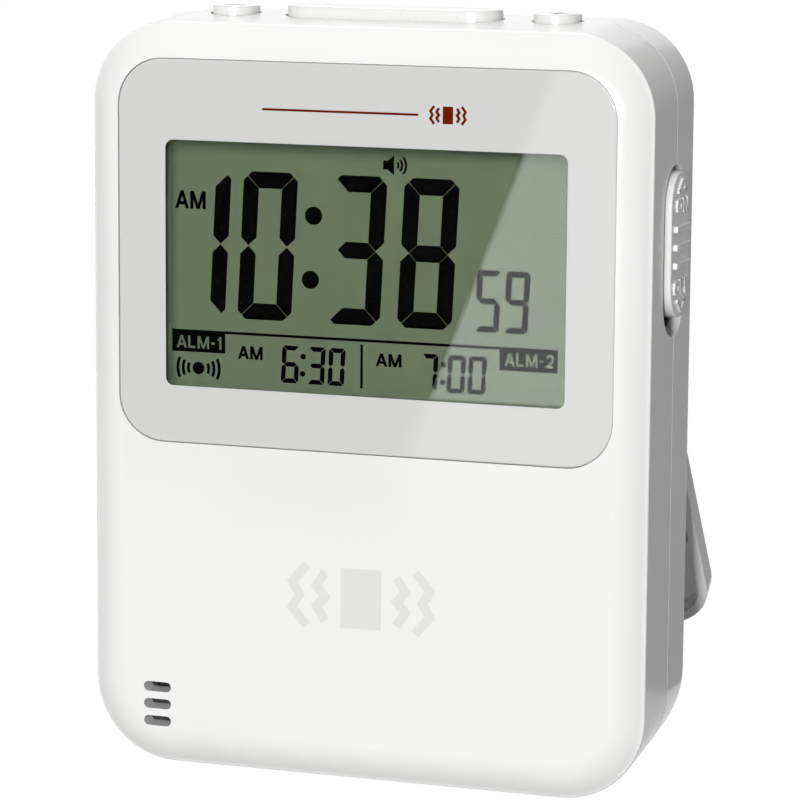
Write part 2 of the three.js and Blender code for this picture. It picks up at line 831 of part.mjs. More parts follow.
piece(
  "alarm_slide",
  add(
    cut(capBody, belowCap),
    ...grips,
    block(
      knobRight + fit, capBack + capRound, frontDepth - shankWidth / 2, frontDepth + shankWidth / 2,
      capAt - shankHeight / 2, capAt + shankHeight / 2,
    ),
  ),
  buttonPlastic,
);
const slideBodyBack = frontDepth + shankWidth / 2 + fit;
piece(
  "slide_switch",
  block(
    slideBodyRight - slideBodyWidth, slideBodyRight, onBoard, slideBodyBack,
    capAt - slideTravel / 2 - slideBodyHeight / 2, capAt - slideTravel / 2 + slideBodyHeight / 2,
  ),
  steel,
);
piece(
  "slide_knob",
  block(
    slideBodyRight + fit, knobRight, frontDepth - shankWidth / 2, frontDepth + shankWidth / 2,
    capAt - shankHeight / 2, capAt + shankHeight / 2,
  ),
  blackResin,
);

// Buzzer
piece(
  "buzzer",
  cut(
    rodY(buzzerDiameter / 2, buzzerFront, buzzerFront + buzzerHeight, buzzerX, buzzerZ, 24),
    rodY(buzzerDiameter / 8, buzzerFront - 1, buzzerFront + 1, buzzerX, buzzerZ, 10),
  ),
  blackResin,
);

// Vibration motor with its weight and clamp
piece(
  "vibration_motor",
  rodX(motorDiameter / 2, motorLeft, motorRight, motorDepth, motorHeight, 24),
  steel,
);
const shaftRight = motorLeft - fit;
const shaftLeft = shaftRight - shaftLength;
piece("motor_shaft", rodX(shaftDiameter / 2, shaftLeft, shaftRight, motorDepth, motorHeight, 12), steel);
const weightRight = shaftRight - fit;
const hubRadius = shaftDiameter / 2 + 1.2;
piece(
  "eccentric_weight",
  cut(
    add(
      cut(
        rodX(weightRadius, weightRight - weightLength, weightRight, motorDepth, motorHeight, 28),
        block(-bodyWidth, bodyWidth, 0, bodyDepth, motorHeight + 0.4, motorHeight + 2 * weightRadius),
      ),
      rodX(hubRadius, weightRight - weightLength, weightRight, motorDepth, motorHeight, 14),
    ),
    rodX(shaftDiameter / 2 + bore, -bodyWidth, bodyWidth, motorDepth, motorHeight, 12),
  ),
  brass,
);
const clampInner = motorDiameter / 2 + fit;
const clampFlange = clampSpread + screwHead / 2;
piece(
  "motor_clamp",
  cut(
    add(
      rodX(clampInner + clampWall, clampAt - clampWidth / 2, clampAt + clampWidth / 2, motorDepth, motorHeight, 24),
      block(
        clampAt - clampWidth / 2, clampAt + clampWidth / 2, clampSeat, clampSeat + clampWall,
        motorHeight - clampFlange, motorHeight + clampFlange,
      ),
    ),
    rodX(clampInner, -bodyWidth, bodyWidth, motorDepth, motorHeight, 24),
    block(-bodyWidth, bodyWidth, -bodyDepth, clampSeat, 0, bodyHeight),
    ...clampPosts.map(({ x, z }) => rodY(screwShank / 2 + bore, 0, bodyDepth, x, z, 10)),
  ),
  steel,
);
clampPosts.forEach(({ x, z }) => {
  const name = z < motorHeight ? "clamp_screw_lower" : "clamp_screw_upper";
  const length = clampWall + 2 * fit + screwEngage / 2;
  piece(name, screw(x, z, clampSeat + clampWall + fit, screwHead / 2, length), steel);
});

// Batteries, contacts and door
const cells = [
  { name: "upper", side: 1, z: bayAt + (cellDiameter + cellSpacing) / 2 },
  { name: "lower", side: -1, z: bayAt - (cellDiameter + cellSpacing) / 2 },
];
const nubLength = 1;
const nubRadius = 1.9;
const sheetSize = cellDiameter - 2;
cells.forEach(({ name, side, z }) => {
  const tip = bayHalf - contactThickness - 2 * fit;
  const along = (from, to, radius, sides) => (
    rodX(radius, Math.min(side * from, side * to), Math.max(side * from, side * to), cellDepth, z, sides)
  );
  const sheet = (from, to) => block(
    Math.min(side * from, side * to), Math.max(side * from, side * to),
    cellDepth - sheetSize / 2, cellDepth + sheetSize / 2, z - sheetSize / 2, z + sheetSize / 2,
  );
  piece(
    `battery_${name}`,
    add(
      along(tip - cellLength, tip - nubLength, cellDiameter / 2, 24),
      along(tip - nubLength - fit, tip, nubRadius, 12),
    ),
    cellJacket,
  );
  piece(`plate_contact_${name}`, sheet(bayHalf - fit - contactThickness, bayHalf - fit), steel);
  const coilStart = -bayHalf + fit + contactThickness / 2;
  const coilEnd = tip - cellLength - fit - contactWire / 2;
  const points = Array.from({ length: Math.round(contactTurns * 8) + 1 }, (_, step) => {
    const share = step / (contactTurns * 8);
    const radius = THREE.MathUtils.lerp(cellDiameter * 0.34, cellDiameter * 0.22, share);
    const angle = share * contactTurns * 2 * Math.PI;
    return new THREE.Vector3(
      side * THREE.MathUtils.lerp(coilStart, coilEnd, share),
      cellDepth + toFrame + radius * Math.cos(angle),
      z + radius * Math.sin(angle),
    );
  });
  piece(
    `spring_contact_${name}`,
    add(sheet(-bayHalf + fit, -bayHalf + fit + contactThickness), wire(points, contactWire / 2)),
    steel,
  );
});
const gripRise = 2.4;
const doorTop = bayAt + doorRiseHalf;
piece(
  "battery_door",
  cut(
    add(
      prismY(roundRect(2 * doorHalf, 2 * doorRiseHalf, 1.2, 0, bayAt, 3), doorFront, bodyDepth),
      ...hooks.flatMap((x) => [
        block(
          x - hookWidth / 2, x + hookWidth / 2, hookFront, hookFront + hookWall,
          doorBottom - hookReach, doorBottom + bayLap,
        ),
        block(
          x - hookWidth / 2, x + hookWidth / 2, hookFront, doorFront + hookWall / 2,
          doorBottom + hookWall / 2, doorBottom + bayLap,
        ),
      ]),
    ),
    prismY(
      pill(doorGripWidth, gripRise, 0, doorTop - gripRise), doorFront + doorThickness / 2, bodyDepth + 1,
    ),
  ),
  whitePlastic,
);

// Clip on the back: the lever is drawn upright about its pin and leans in a turned group
const clip = new THREE.Group();
clip.name = "clip_group";
clip.position.set(0, pivotDepth + toFrame, pivotHeight);
clip.rotation.x = THREE.MathUtils.degToRad(clipAngle);
part.add(clip);
const lean = clip.rotation.x;
const onPin = -toFrame;
const plateFront = rimOffset + leverDepth - leverPlate;
const leverHeight = handleLength + jawLength;
const leverMiddle = (jawLength - handleLength) / 2;
const leverOutline = roundRect(clipWidth, leverHeight, leverCorner, 0, leverMiddle, 6);
const squareTop = block(
  -clipWidth / 2, clipWidth / 2, onPin + rimOffset, onPin + rimOffset + leverDepth, 0, jawLength,
);
const pocketHalf = clipWidth / 2 - leverRim;
const pocketLow = -handleLength + leverRim;
const pocketCorner = leverCorner - leverRim;
const handlePocket = (low, high, lower) => prismY(
  roundRect(2 * pocketHalf, high - low, 1, 0, (low + high) / 2, 5, lower),
  onPin, onPin + plateFront,
);
const towardsBack = new THREE.BoxGeometry(2 * clipWidth, bodyDepth, 4 * leverHeight)
  .translate(0, -bodyDepth / 2 - pivotBehind + fit, 0)
  .rotateX(-lean);
const ears = [-1, 1].map((side) => prismX(
  eyeOutline(eyeRadius, plateFront + leverPlate / 2, fit).map((point) => (
    new THREE.Vector2(onPin + point.x, point.y)
  )),
  side * earOffset - eyeWall / 2, side * earOffset + eyeWall / 2,
));
const lever = cut(
  add(
    cut(
      add(prismY(leverOutline, onPin + rimOffset, onPin + rimOffset + leverDepth), squareTop),
      handlePocket(pocketLow, -ribBelow - ribWall / 2, pocketCorner),
      handlePocket(-ribBelow + ribWall / 2, jawLength - jawSolid, 1),
    ),
    ...ears,
  ),
  rodX(pinDiameter / 2 + bore, -clipWidth, clipWidth, onPin, 0, 16),
  solid(towardsBack),
);
piece("clip_lever", lever, whitePlastic, clip);
piece(
  "clip_pin",
  rodX(pinDiameter / 2, -earOffset - eyeWall, earOffset + eyeWall, pivotDepth, pivotHeight, 16),
  steel,
);

// Torsion spring: a leg on the back of the housing, the coil on the pin and a leg on the lever
const coilRadius = pinDiameter / 2 + fit + springWire / 2;
const legStart = THREE.MathUtils.degToRad(170);
const legDrop = 9;
const springPoint = (x, out, up) => new THREE.Vector3(x, pivotDepth + toFrame + out, pivotHeight + up);
const springPoints = [];
for (let step = 0; step < 4; step += 1) {
  const share = step / 4;
  springPoints.push(springPoint(
    -springLength / 2,
    THREE.MathUtils.lerp(-pivotBehind + fit + springWire / 2, coilRadius * Math.cos(legStart), share),
    THREE.MathUtils.lerp(-legDrop, coilRadius * Math.sin(legStart), share),
  ));
}
const coilSteps = Math.round(springTurns * 8);
for (let step = 0; step <= coilSteps; step += 1) {
  const angle = legStart - step / coilSteps * springTurns * 2 * Math.PI;
  springPoints.push(springPoint(
    springLength * (step / coilSteps - 0.5), coilRadius * Math.cos(angle), coilRadius * Math.sin(angle),
  ));
}
const legOut = plateFront - fit - springWire / 2;
const legDown = -ribBelow + ribWall / 2 + fit + springWire / 2;
const coilLeaves = legStart - springTurns * 2 * Math.PI;
for (let step = 1; step <= 3; step += 1) {
  const share = step / 3;
  springPoints.push(springPoint(
    springLength / 2,
    THREE.MathUtils.lerp(
      coilRadius * Math.cos(coilLeaves), legOut * Math.cos(lean) - legDown * Math.sin(lean), share,
    ),
    THREE.MathUtils.lerp(
      coilRadius * Math.sin(coilLeaves), legOut * Math.sin(lean) + legDown * Math.cos(lean), share,
    ),
  ));
}
piece("clip_spring", wire(springPoints, springWire / 2), steel);

// Housing screws
housingScrews.forEach(({ name, x, z }) => {
  const length = screwSeat + 2 * fit + screwEngage;
  piece(`housing_screw_${name}`, screw(x, z, screwHeadFront, screwHead / 2, length), steel);
});

export default part;
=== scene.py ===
import bmesh
import bpy
import json
import math
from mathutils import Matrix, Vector


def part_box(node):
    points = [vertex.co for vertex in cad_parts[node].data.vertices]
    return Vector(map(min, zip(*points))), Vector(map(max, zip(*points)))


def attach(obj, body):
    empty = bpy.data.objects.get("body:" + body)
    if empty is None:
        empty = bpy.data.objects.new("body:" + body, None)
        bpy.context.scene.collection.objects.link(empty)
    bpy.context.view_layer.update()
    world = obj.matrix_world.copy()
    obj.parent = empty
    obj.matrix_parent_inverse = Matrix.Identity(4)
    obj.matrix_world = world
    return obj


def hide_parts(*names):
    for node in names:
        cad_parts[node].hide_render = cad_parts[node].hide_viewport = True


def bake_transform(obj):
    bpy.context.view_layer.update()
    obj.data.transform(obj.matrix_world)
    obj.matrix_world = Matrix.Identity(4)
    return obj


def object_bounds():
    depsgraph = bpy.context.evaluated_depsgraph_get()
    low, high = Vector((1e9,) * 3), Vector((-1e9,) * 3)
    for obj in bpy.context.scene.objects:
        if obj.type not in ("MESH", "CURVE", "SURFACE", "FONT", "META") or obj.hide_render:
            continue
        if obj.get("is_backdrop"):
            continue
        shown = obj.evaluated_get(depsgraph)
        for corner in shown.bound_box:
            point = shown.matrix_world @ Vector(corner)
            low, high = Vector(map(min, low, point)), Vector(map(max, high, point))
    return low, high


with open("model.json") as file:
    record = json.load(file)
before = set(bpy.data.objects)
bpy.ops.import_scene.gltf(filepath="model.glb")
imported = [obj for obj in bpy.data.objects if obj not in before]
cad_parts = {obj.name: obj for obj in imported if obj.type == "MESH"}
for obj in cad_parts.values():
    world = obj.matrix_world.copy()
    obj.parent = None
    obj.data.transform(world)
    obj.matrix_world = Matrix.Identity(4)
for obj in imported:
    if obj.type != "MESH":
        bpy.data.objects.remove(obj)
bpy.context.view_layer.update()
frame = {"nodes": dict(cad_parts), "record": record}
scene = bpy.context.scene
scene.view_settings.view_transform = "Standard"

# Sizes in millimetres, as in the solid model. Depth is measured back from the front face.
MM = 0.001
BODY_WIDTH, BODY_HEIGHT, BODY_DEPTH = 77.0, 100.45, 23.4
PARTING = 12.75
UPPER_CORNER, LOWER_CORNER, CORNER_SWEEP = 10.8, 11.3, 3.3
CROWN_WIDTH, CROWN_DEPTH, EDGE_ROUND = 5.0, 2.1, 0.35
REAR_FILLET = 1.5
SIDE_DRAFT, FRONT_DRAFT, TOP_DRAFT = 0.3, 0.1, 1.05
WALL, FRONT_WALL, INNER_BACK = 2.0, 2.65, 21.4
FIT = 0.3
LIP, LIP_WIDTH, GROOVE_WIDTH, SEAM = 1.3, 0.6, 0.9, 0.04
WINDOW = (68.1, 50.8, 6.2)
WINDOW_AT = 69.55
WINDOW_FRONT, WINDOW_BACK = 0.15, 1.35
VIEW = (55.05, 32.6, 1.1)
VIEW_AT = 68.05
GLASS_FRONT, GLASS_BACK = 1.65, 3.25
# Name, place, length, width and rise of each key
KEYS = (
    ("minus", -22.3, 6.3, 6.3, 0.95),
    ("snooze", 0.0, 29.5, 7.6, 1.2),
    ("plus", 22.3, 6.3, 6.3, 0.95),
)
KEY_FOOT, KEY_FLANGE = 96.5, (96.1, 97.1)
SLIDE_AT, SLIDE_INNER = 71.2, 36.8
SLIDE_OPENING, SLIDE_BAY = (10.8, 22.2), (15.0, 26.4)
CAP, CAP_AT, CAP_BACK, CAP_FACE = (9.0, 19.05), 72.1, 37.6, 39.2
SLOT_MOUTH, SLOT_THROAT, SLOT_AT, SLOT_PITCH = (3.9, 1.35), (3.85, 1.2), (-28.72, 8.26), 2.35
SCREWS = ((-31.85, 92.65), (31.85, 92.65), (-16.85, 7.0), (16.85, 7.0))
SCREW_HEAD, SCREW_SEAT, SCREW_BORE = 2.0, 2.3, 1.1
SET_BUTTONS = (("time_set", -11.0), ("alarm_set", 11.0))
SET_AT, SET_CAP, SET_HOLE, SET_FLANGE, STEM = 86.9, 2.5, 2.8, 3.5, 1.2
BAY_AT = 68.75
DOOR, DOOR_OPENING, DOOR_FRONT = (55.2, 25.6, 1.2), (55.8, 26.2, 1.5), 21.95
HOOKS, HOOK_HALF, HOOK_POCKET_HALF = (-14.0, 14.0), 3.0, 3.3
# Name, side of the plus pole and height of each cell
CELLS = (("upper", 1, 74.4), ("lower", -1, 63.1))
CELL_DEPTH = 16.4
PIVOT, LEAN = (27.2, 33.5), math.radians(37.2)
LUGS, EARS = (-28.9, -9.5, 9.5, 28.9), (-31.0, 31.0)
LUG_RADIUS, LUG_HALF = 2.4, 0.9
PIN_RADIUS, PIN_BORE, PIN_HALF = 1.0, 1.1, 32.8


# Outlines, all counter-clockwise
def rounded(width, height, radius, x=0.0, y=0.0, steps=10, lower=None):
    """A rectangle with rounded corners; lower is the radius of the lower two where it differs."""
    points = []
    for corner in range(4):
        right = 1 if corner in (0, 3) else -1
        up = 1 if corner < 2 else -1
        bend = radius if corner < 2 or lower is None else lower
        for step in range(steps + 1):
            angle = (corner + step / steps) * math.pi / 2
            points.append((
                x + right * (width / 2 - bend) + bend * math.cos(angle),
                y + up * (height / 2 - bend) + bend * math.sin(angle),
            ))
    return points


def pill(width, height, x=0.0, y=0.0, steps=12):
    return rounded(width, height, min(width, height) / 2 - 0.001, x, y, steps)


def disc(radius, x=0.0, y=0.0, sides=40):
    turns = [2 * math.pi * side / sides for side in range(sides)]
    return [(x + radius * math.cos(turn), y + radius * math.sin(turn)) for turn in turns]


def eye(radius, root, x=0.0, y=0.0, way=1, steps=14):
    """A lug: half a disc about the pin, with straight flanks out to its root."""
    turns = [math.pi / 2 + math.pi * step / steps for step in range(steps + 1)]
    points = [(radius * math.cos(turn), radius * math.sin(turn)) for turn in turns]
    points += [(root, -radius - FIT), (root, radius + FIT)]
    return [(x + way * a, y + way * b) for a, b in points]


def grown(points, grow):
    """The outline moved outwards by grow, or inwards where grow is negative."""
    count = len(points)
    result = []
    for at in range(count):
        here = Vector(points[at])
        before = here - Vector(points[at - 1])
        after = Vector(points[(at + 1) % count]) - here
        first = Vector((before.y, -before.x)).normalized()
        second = Vector((after.y, -after.x)).normalized()
        middle = (first + second).normalized()
        result.append(tuple(here + middle * (grow / max(middle.dot(first), 0.3))))
    return result


# Places an outline point and a distance along the third axis in the shared frame
def facing_front(a, b, along):
    return Vector((a, along - BODY_DEPTH / 2, b))


def facing_up(a, b, along):
    return Vector((a, b - BODY_DEPTH / 2, along))


def facing_side(a, b, along):
    return Vector((along, a - BODY_DEPTH / 2, b))


def on_lever(a, b, along):
    out = along * math.cos(LEAN) - b * math.sin(LEAN)
    up = along * math.sin(LEAN) + b * math.cos(LEAN)
    return facing_front(a, PIVOT[1] + up, PIVOT[0] + out)


def across_lever(a, b, along):
    return on_lever(along, b, a)


# Meshes
def link(name, mesh_form):
    mesh = bpy.data.meshes.new(name)
    mesh_form.to_mesh(mesh)
    mesh_form.free()
    made = bpy.data.objects.new(name, mesh)
    scene.collection.objects.link(made)
    return made


def loft(name, rings, closed=False):
    """A closed body through rings of equal point count; closed joins the last ring to the first."""
    form = bmesh.new()
    rows = [[form.verts.new(point * MM) for point in ring] for ring in rings]
    count = len(rows[0])
    pairs = list(zip(rows, rows[1:]))
    if closed:
        pairs.append((rows[-1], rows[0]))
    else:
        form.faces.new(rows[0])
        form.faces.new(list(reversed(rows[-1])))
    for low, high in pairs:
        for side in range(count):
            nearby = (side + 1) % count
            form.faces.new((low[side], high[side], high[nearby], low[nearby]))
    bmesh.ops.recalc_face_normals(form, faces=form.faces)
    return link(name, form)


def rounding(start, end, round_start=0.0, round_end=0.0, steps=4):
    """Pairs of (inset, distance) for a slab whose two rims are rounded."""
    profile = []
    way = 1 if end > start else -1
    for step in range(steps + 1 if round_start else 1):
        angle = math.pi / 2 * step / steps
        inset, sink = round_start * (1 - math.sin(angle)), round_start * (1 - math.cos(angle))
        profile.append((inset, start + way * sink))
    for step in range(steps if round_end else 0, -1, -1):
        angle = math.pi / 2 * step / steps
        inset, sink = round_end * (1 - math.sin(angle)), round_end * (1 - math.cos(angle))
        profile.append((inset, end - way * sink))
    return profile


def slab(name, outline, profile, place=facing_front):
    rings = [[place(a, b, along) for a, b in grown(outline, -inset)] for inset, along in profile]
    return loft(name, rings)


def block(name, low, high, bevel=0.0):
    """A box between two corners given as (x, depth, z), with small rounded edges."""
    outline = rounded(high[0] - low[0], high[2] - low[2], max(bevel, 0.02), (low[0] + high[0]) / 2,
                      (low[2] + high[2]) / 2, 3)
    return slab(name, outline, rounding(low[1], high[1], bevel, bevel, 2))


def flare(mouth, end, lip, steps=4):
    """Profile of a cutter that widens by a rounded lip at its mouth."""
    way = 1 if end > mouth else -1
    profile = [(-lip, mouth - way * 2)]
    for step in range(steps + 1):
        angle = math.pi / 2 * (1 - step / steps)
        profile.append((-lip * (1 - math.cos(angle)), mouth + way * lip * (1 - math.sin(angle))))
    profile.append((0, end))
    return profile


def bake(made):
    graph = bpy.context.evaluated_depsgraph_get()
    graph.update()
    mesh = bpy.data.meshes.new_from_object(made.evaluated_get(graph))
    made.modifiers.clear()
    made.data = mesh


def carve(made, *tools, operation="DIFFERENCE"):
    for tool in tools:
        step = made.modifiers.new("carve", "BOOLEAN")
        step.object = tool
        step.operation = operation
        step.solver = "EXACT"
    bake(made)
    for tool in tools:
        bpy.data.objects.remove(tool)


def join(name, *parts):
    form = bmesh.new()
    for one in parts:
        form.from_mesh(one.data)
        bpy.data.objects.remove(one)
    return link(name, form)


def dress(made, finish, body, nodes=(), sharp=32):
    """Smooth shading with crisp edges, the material, and the body that the piece moves with."""
    made.data.materials.clear()
    made.data.materials.append(finish)
    made.data.shade_smooth()
    made.data.set_sharp_from_angle(angle=math.radians(sharp))
    weighted = made.modifiers.new("weighted", "WEIGHTED_NORMAL")
    weighted.keep_sharp = True
    weighted.weight = 80
    bake(made)
    if body:
        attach(made, body)
    if nodes:
        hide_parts(*nodes)
    return made


# Materials
def color(hex_text):
    """The linear colour of an sRGB hex text."""
    channels = [int(hex_text[at:at + 2], 16) / 255 for at in (1, 3, 5)]
    linear = [c / 12.92 if c <= 0.04045 else ((c + 0.055) / 1.055) ** 2.4 for c in channels]
    return tuple(linear) + (1.0,)


def node(tree, kind, inputs=None, **settings):
    made = tree.nodes.new(kind)
    for key, value in settings.items():
        setattr(made, key, value)
    for key, value in (inputs or {}).items():
        if isinstance(value, bpy.types.NodeSocket):
            tree.links.new(value, made.inputs[key])
        else:
            made.inputs[key].default_value = value
    return made


def surface(name, dark, light, roughness, spread, grain_mm, relief_mm, cloud_mm=30, **shader):
    """Two close tones in soft clouds; a fine grain varies the roughness and the relief."""
    material = bpy.data.materials.new(name)
    material.use_nodes = True
    tree = material.node_tree
    tree.nodes.clear()
    place = node(tree, "ShaderNodeTexCoord").outputs["Object"]
    cloud = node(tree, "ShaderNodeTexNoise", {
        "Vector": place, "Scale": 1000 / cloud_mm, "Detail": 2.0,
    })
    tones = node(tree, "ShaderNodeValToRGB", {"Fac": cloud.outputs["Fac"]})
    tones.color_ramp.elements[0].position = 0.3
    tones.color_ramp.elements[1].position = 0.7
    tones.color_ramp.elements[0].color = color(dark)
    tones.color_ramp.elements[1].color = color(light)
    grain = node(tree, "ShaderNodeTexNoise", {
        "Vector": place, "Scale": 1000 / grain_mm, "Detail": 3.0,
    })
    rough = node(tree, "ShaderNodeMapRange", {
        "Value": grain.outputs["Fac"], "To Min": roughness - spread, "To Max": roughness + spread,
    })
    relief = node(tree, "ShaderNodeBump", {
        "Height": grain.outputs["Fac"], "Distance": relief_mm * MM, "Strength": 0.5,
    })
    shade = node(tree, "ShaderNodeBsdfPrincipled", {
        "Base Color": tones.outputs["Color"], "Roughness": rough.outputs["Result"],
        "Normal": relief.outputs["Normal"], **shader,
    })
    node(tree, "ShaderNodeOutputMaterial", {"Surface": shade.outputs["BSDF"]})
    return material


# Moulded ABS: opaque, hardly warm white, glossy from a polished mould
shell_abs = surface("moulded_white_abs", "#f1f1f0", "#f4f4f3", 0.17, 0.03, 0.6, 0.001)
# ABS of the keys: a shade greyer and duller than the shells, with no grain to see
key_abs = surface("satin_white_abs", "#dcdcdb", "#dfdfde", 0.28, 0.02, 0.8, 0.0001)
# Acrylic printed grey from behind: even tone under a hard gloss
printed_acrylic = surface("printed_grey_acrylic", "#d7d7d6", "#d9d9d8", 0.06, 0.02, 2.0, 0.0005,
                          IOR=1.49)
# Clear acrylic of the view: colourless, a mirror gloss weakened by a coat against reflections
clear_acrylic = surface("clear_acrylic", "#ffffff", "#fdfffd", 0.01, 0.005, 4.0, 0.0001,
                        IOR=1.36, **{"Transmission Weight": 1.0})
# Liquid crystal glass with its polariser: grey green under a film gloss
lcd_polariser = surface("lcd_polariser", "#444d3c", "#464f3f", 0.025, 0.01, 0.5, 0.0001, 20,
                        **{"Specular IOR Level": 0.7})
# Painted shade: the glass colour is darkened towards the left and the top of the view, where the
# frame's edge would shade it
tree = lcd_polariser.node_tree
glass = next(one for one in tree.nodes if one.type == "BSDF_PRINCIPLED")
place = node(tree, "ShaderNodeSeparateXYZ", {0: node(tree, "ShaderNodeTexCoord").outputs["Object"]})
from_left = node(tree, "ShaderNodeMapRange", {
    "Value": place.outputs["X"], "From Min": -28.5 * MM, "From Max": -25.6 * MM, "To Min": 0.2,
}, interpolation_type="SMOOTHSTEP")
from_top = node(tree, "ShaderNodeMapRange", {
    "Value": place.outputs["Z"], "From Min": 85.0 * MM, "From Max": 82.1 * MM, "To Min": 0.2,
}, interpolation_type="SMOOTHSTEP")
shade = node(tree, "ShaderNodeMath", {0: from_left.outputs[0], 1: from_top.outputs[0]},
             operation="MULTIPLY")
tone = glass.inputs["Base Color"].links[0].from_socket
painted_shade_tone = node(tree, "ShaderNodeHueSaturation", {"Value": shade.outputs[0], "Color": tone})
tree.links.new(painted_shade_tone.outputs[0], glass.inputs["Base Color"])
# Dark figures of the liquid crystal: nearly black, dull
lcd_figure = surface("lcd_dark_figure", "#020202", "#040404", 0.5, 0.05, 0.5, 0.001,
                     **{"Specular IOR Level": 0.0})
# Screen printing ink on the window: dark reddish brown, dead flat
brown_ink = surface("brown_screen_ink", "#641c02", "#6a1f04", 0.45, 0.08, 0.4, 0.002,
                    **{"Specular IOR Level": 0.0})
# Pale grey pad print on the front
grey_ink = surface("pale_grey_pad_ink", "#dededd", "#e1e1e0", 0.45, 0.06, 0.5, 0.002)
# Dark grey ink of the signs on the keys: flat
mark_ink = surface("dark_grey_key_ink", "#6e6e6e", "#777777", 0.5, 0.06, 0.4, 0.002)
# Nickel-plated steel: bright metal with a grain of half a millimetre
nickel_steel = surface("nickel_plated_steel", "#b4b5b7", "#c6c7c9", 0.28, 0.08, 0.5, 0.002, 6,
                       Metallic=1.0)
# Zinc-plated screw: duller metal
zinc_screw = surface("zinc_plated_screw", "#9fa2a4", "#b5b7b9", 0.35, 0.08, 0.4, 0.003, 4,
                     Metallic=1.0)
# Foil jacket of a dry cell: plain grey print under lacquer
cell_foil = surface("cell_foil_jacket", "#7c8186", "#868b90", 0.3, 0.05, 1.5, 0.0006, 12,
                    Metallic=0.3)
# Plain ABS of inner pieces: off-white, duller than the shells
inner_abs = surface("moulded_inner_abs", "#d3d3cf", "#dadad6", 0.55, 0.06, 0.6, 0.006)
# Black moulding resin of switches and chip: fine matt grain
black_resin = surface("moulded_black_resin", "#191a1c", "#222326", 0.5, 0.08, 0.5, 0.006)
# Silicone rubber of the contact strip: soft and matt
black_rubber = surface("black_silicone_rubber", "#262626", "#2f2f2f", 0.75, 0.06, 0.7, 0.006)
# Solder mask over glass laminate: green, half gloss, a hint of weave
board_mask = surface("green_solder_mask", "#28523a", "#336146", 0.4, 0.06, 0.9, 0.006, 8)
# Turned brass of the weight: yellow metal with fine tool marks
turned_brass = surface("turned_brass", "#a88d4f", "#bda264", 0.3, 0.08, 0.5, 0.003, 5, Metallic=1.0)
# Clouded acrylic behind the glass: spreads the light of the lamp
guide_acrylic = surface("clouded_guide_acrylic", "#dce3d8", "#e4eadf", 0.35, 0.05, 1.0, 0.002)

# Solids that stay as they are get their finish by the record's slot
slot_finish = {
    "white_plastic": shell_abs, "button_plastic": key_abs, "window_plastic": printed_acrylic,
    "lcd": lcd_polariser, "light_guide_plastic": guide_acrylic, "inner_plastic": inner_abs,
    "board_laminate": board_mask, "black_resin": black_resin, "black_rubber": black_rubber,
    "steel": nickel_steel, "brass": turned_brass, "battery_jacket": cell_foil,
}
for entry in frame["record"]["subparts"]:
    solid = frame["nodes"][entry["node"]]
    for place in solid.material_slots:
        place.material = slot_finish[entry["material_slot"]]


# Geometry Nodes trees for what repeats or follows a path
def node_tree(name, inputs):
    """A tree with a mesh input, the named inputs and a mesh output, and its input sockets."""
    tree = bpy.data.node_groups.new(name, "GeometryNodeTree")
    tree.interface.new_socket("Mesh", in_out="INPUT", socket_type="NodeSocketGeometry")
    for label, kind in inputs:
        tree.interface.new_socket(label, in_out="INPUT", socket_type="NodeSocket" + kind)
    tree.interface.new_socket("Mesh", in_out="OUTPUT", socket_type="NodeSocketGeometry")
    return tree, node(tree, "NodeGroupInput").outputs


def close_tree(tree, shape, finish):
    real = node(tree, "GeometryNodeRealizeInstances", {"Geometry": shape})
    painted = node(tree, "GeometryNodeSetMaterial", {
        "Geometry": real.outputs[0], "Material": finish,
    })
    node(tree, "NodeGroupOutput", {"Mesh": painted.outputs[0]})


def grow_tree(made, tree, inputs):
    modifier = made.modifiers.new("grow", "NODES")
    modifier.node_group = tree
    for item in tree.interface.items_tree:
        if item.in_out == "INPUT" and item.name in inputs:
            modifier[item.identifier] = inputs[item.name]
    bake(made)
    return made


def strand(name, points):
    """A chain of points joined by edges, in millimetres."""
    mesh = bpy.data.meshes.new(name)
    edges = [(at, at + 1) for at in range(len(points) - 1)]
    mesh.from_pydata([point * MM for point in points], edges, [])
    made = bpy.data.objects.new(name, mesh)
    scene.collection.objects.link(made)
    return made


wire_tree, given = node_tree("wire_along_path", (
    ("Wire Radius", "Float"), ("Sides", "Int"), ("Finish", "Material"),
))
path = node(wire_tree, "GeometryNodeMeshToCurve", {"Mesh": given["Mesh"]})
section = node(wire_tree, "GeometryNodeCurvePrimitiveCircle", {
    "Resolution": given["Sides"], "Radius": given["Wire Radius"],
})
tube = node(wire_tree, "GeometryNodeCurveToMesh", {
    "Curve": path.outputs[0], "Profile Curve": section.outputs[0], "Fill Caps": True,
})
close_tree(wire_tree, tube.outputs[0], given["Finish"])

screw_tree, given = node_tree("screws_at_points", (
    ("Screw", "Object"), ("Turn Step", "Float"), ("Finish", "Material"),
))
pattern = node(screw_tree, "GeometryNodeObjectInfo", {"Object": given["Screw"]})
count = node(screw_tree, "GeometryNodeInputIndex")
turn = node(screw_tree, "ShaderNodeMath", {0: count.outputs[0], 1: given["Turn Step"]},
            operation="MULTIPLY")
angles = node(screw_tree, "ShaderNodeCombineXYZ", {"Y": turn.outputs[0]})
copies = node(screw_tree, "GeometryNodeInstanceOnPoints", {
    "Points": given["Mesh"], "Instance": pattern.outputs["Geometry"], "Rotation": angles.outputs[0],
})
close_tree(screw_tree, copies.outputs[0], given["Finish"])

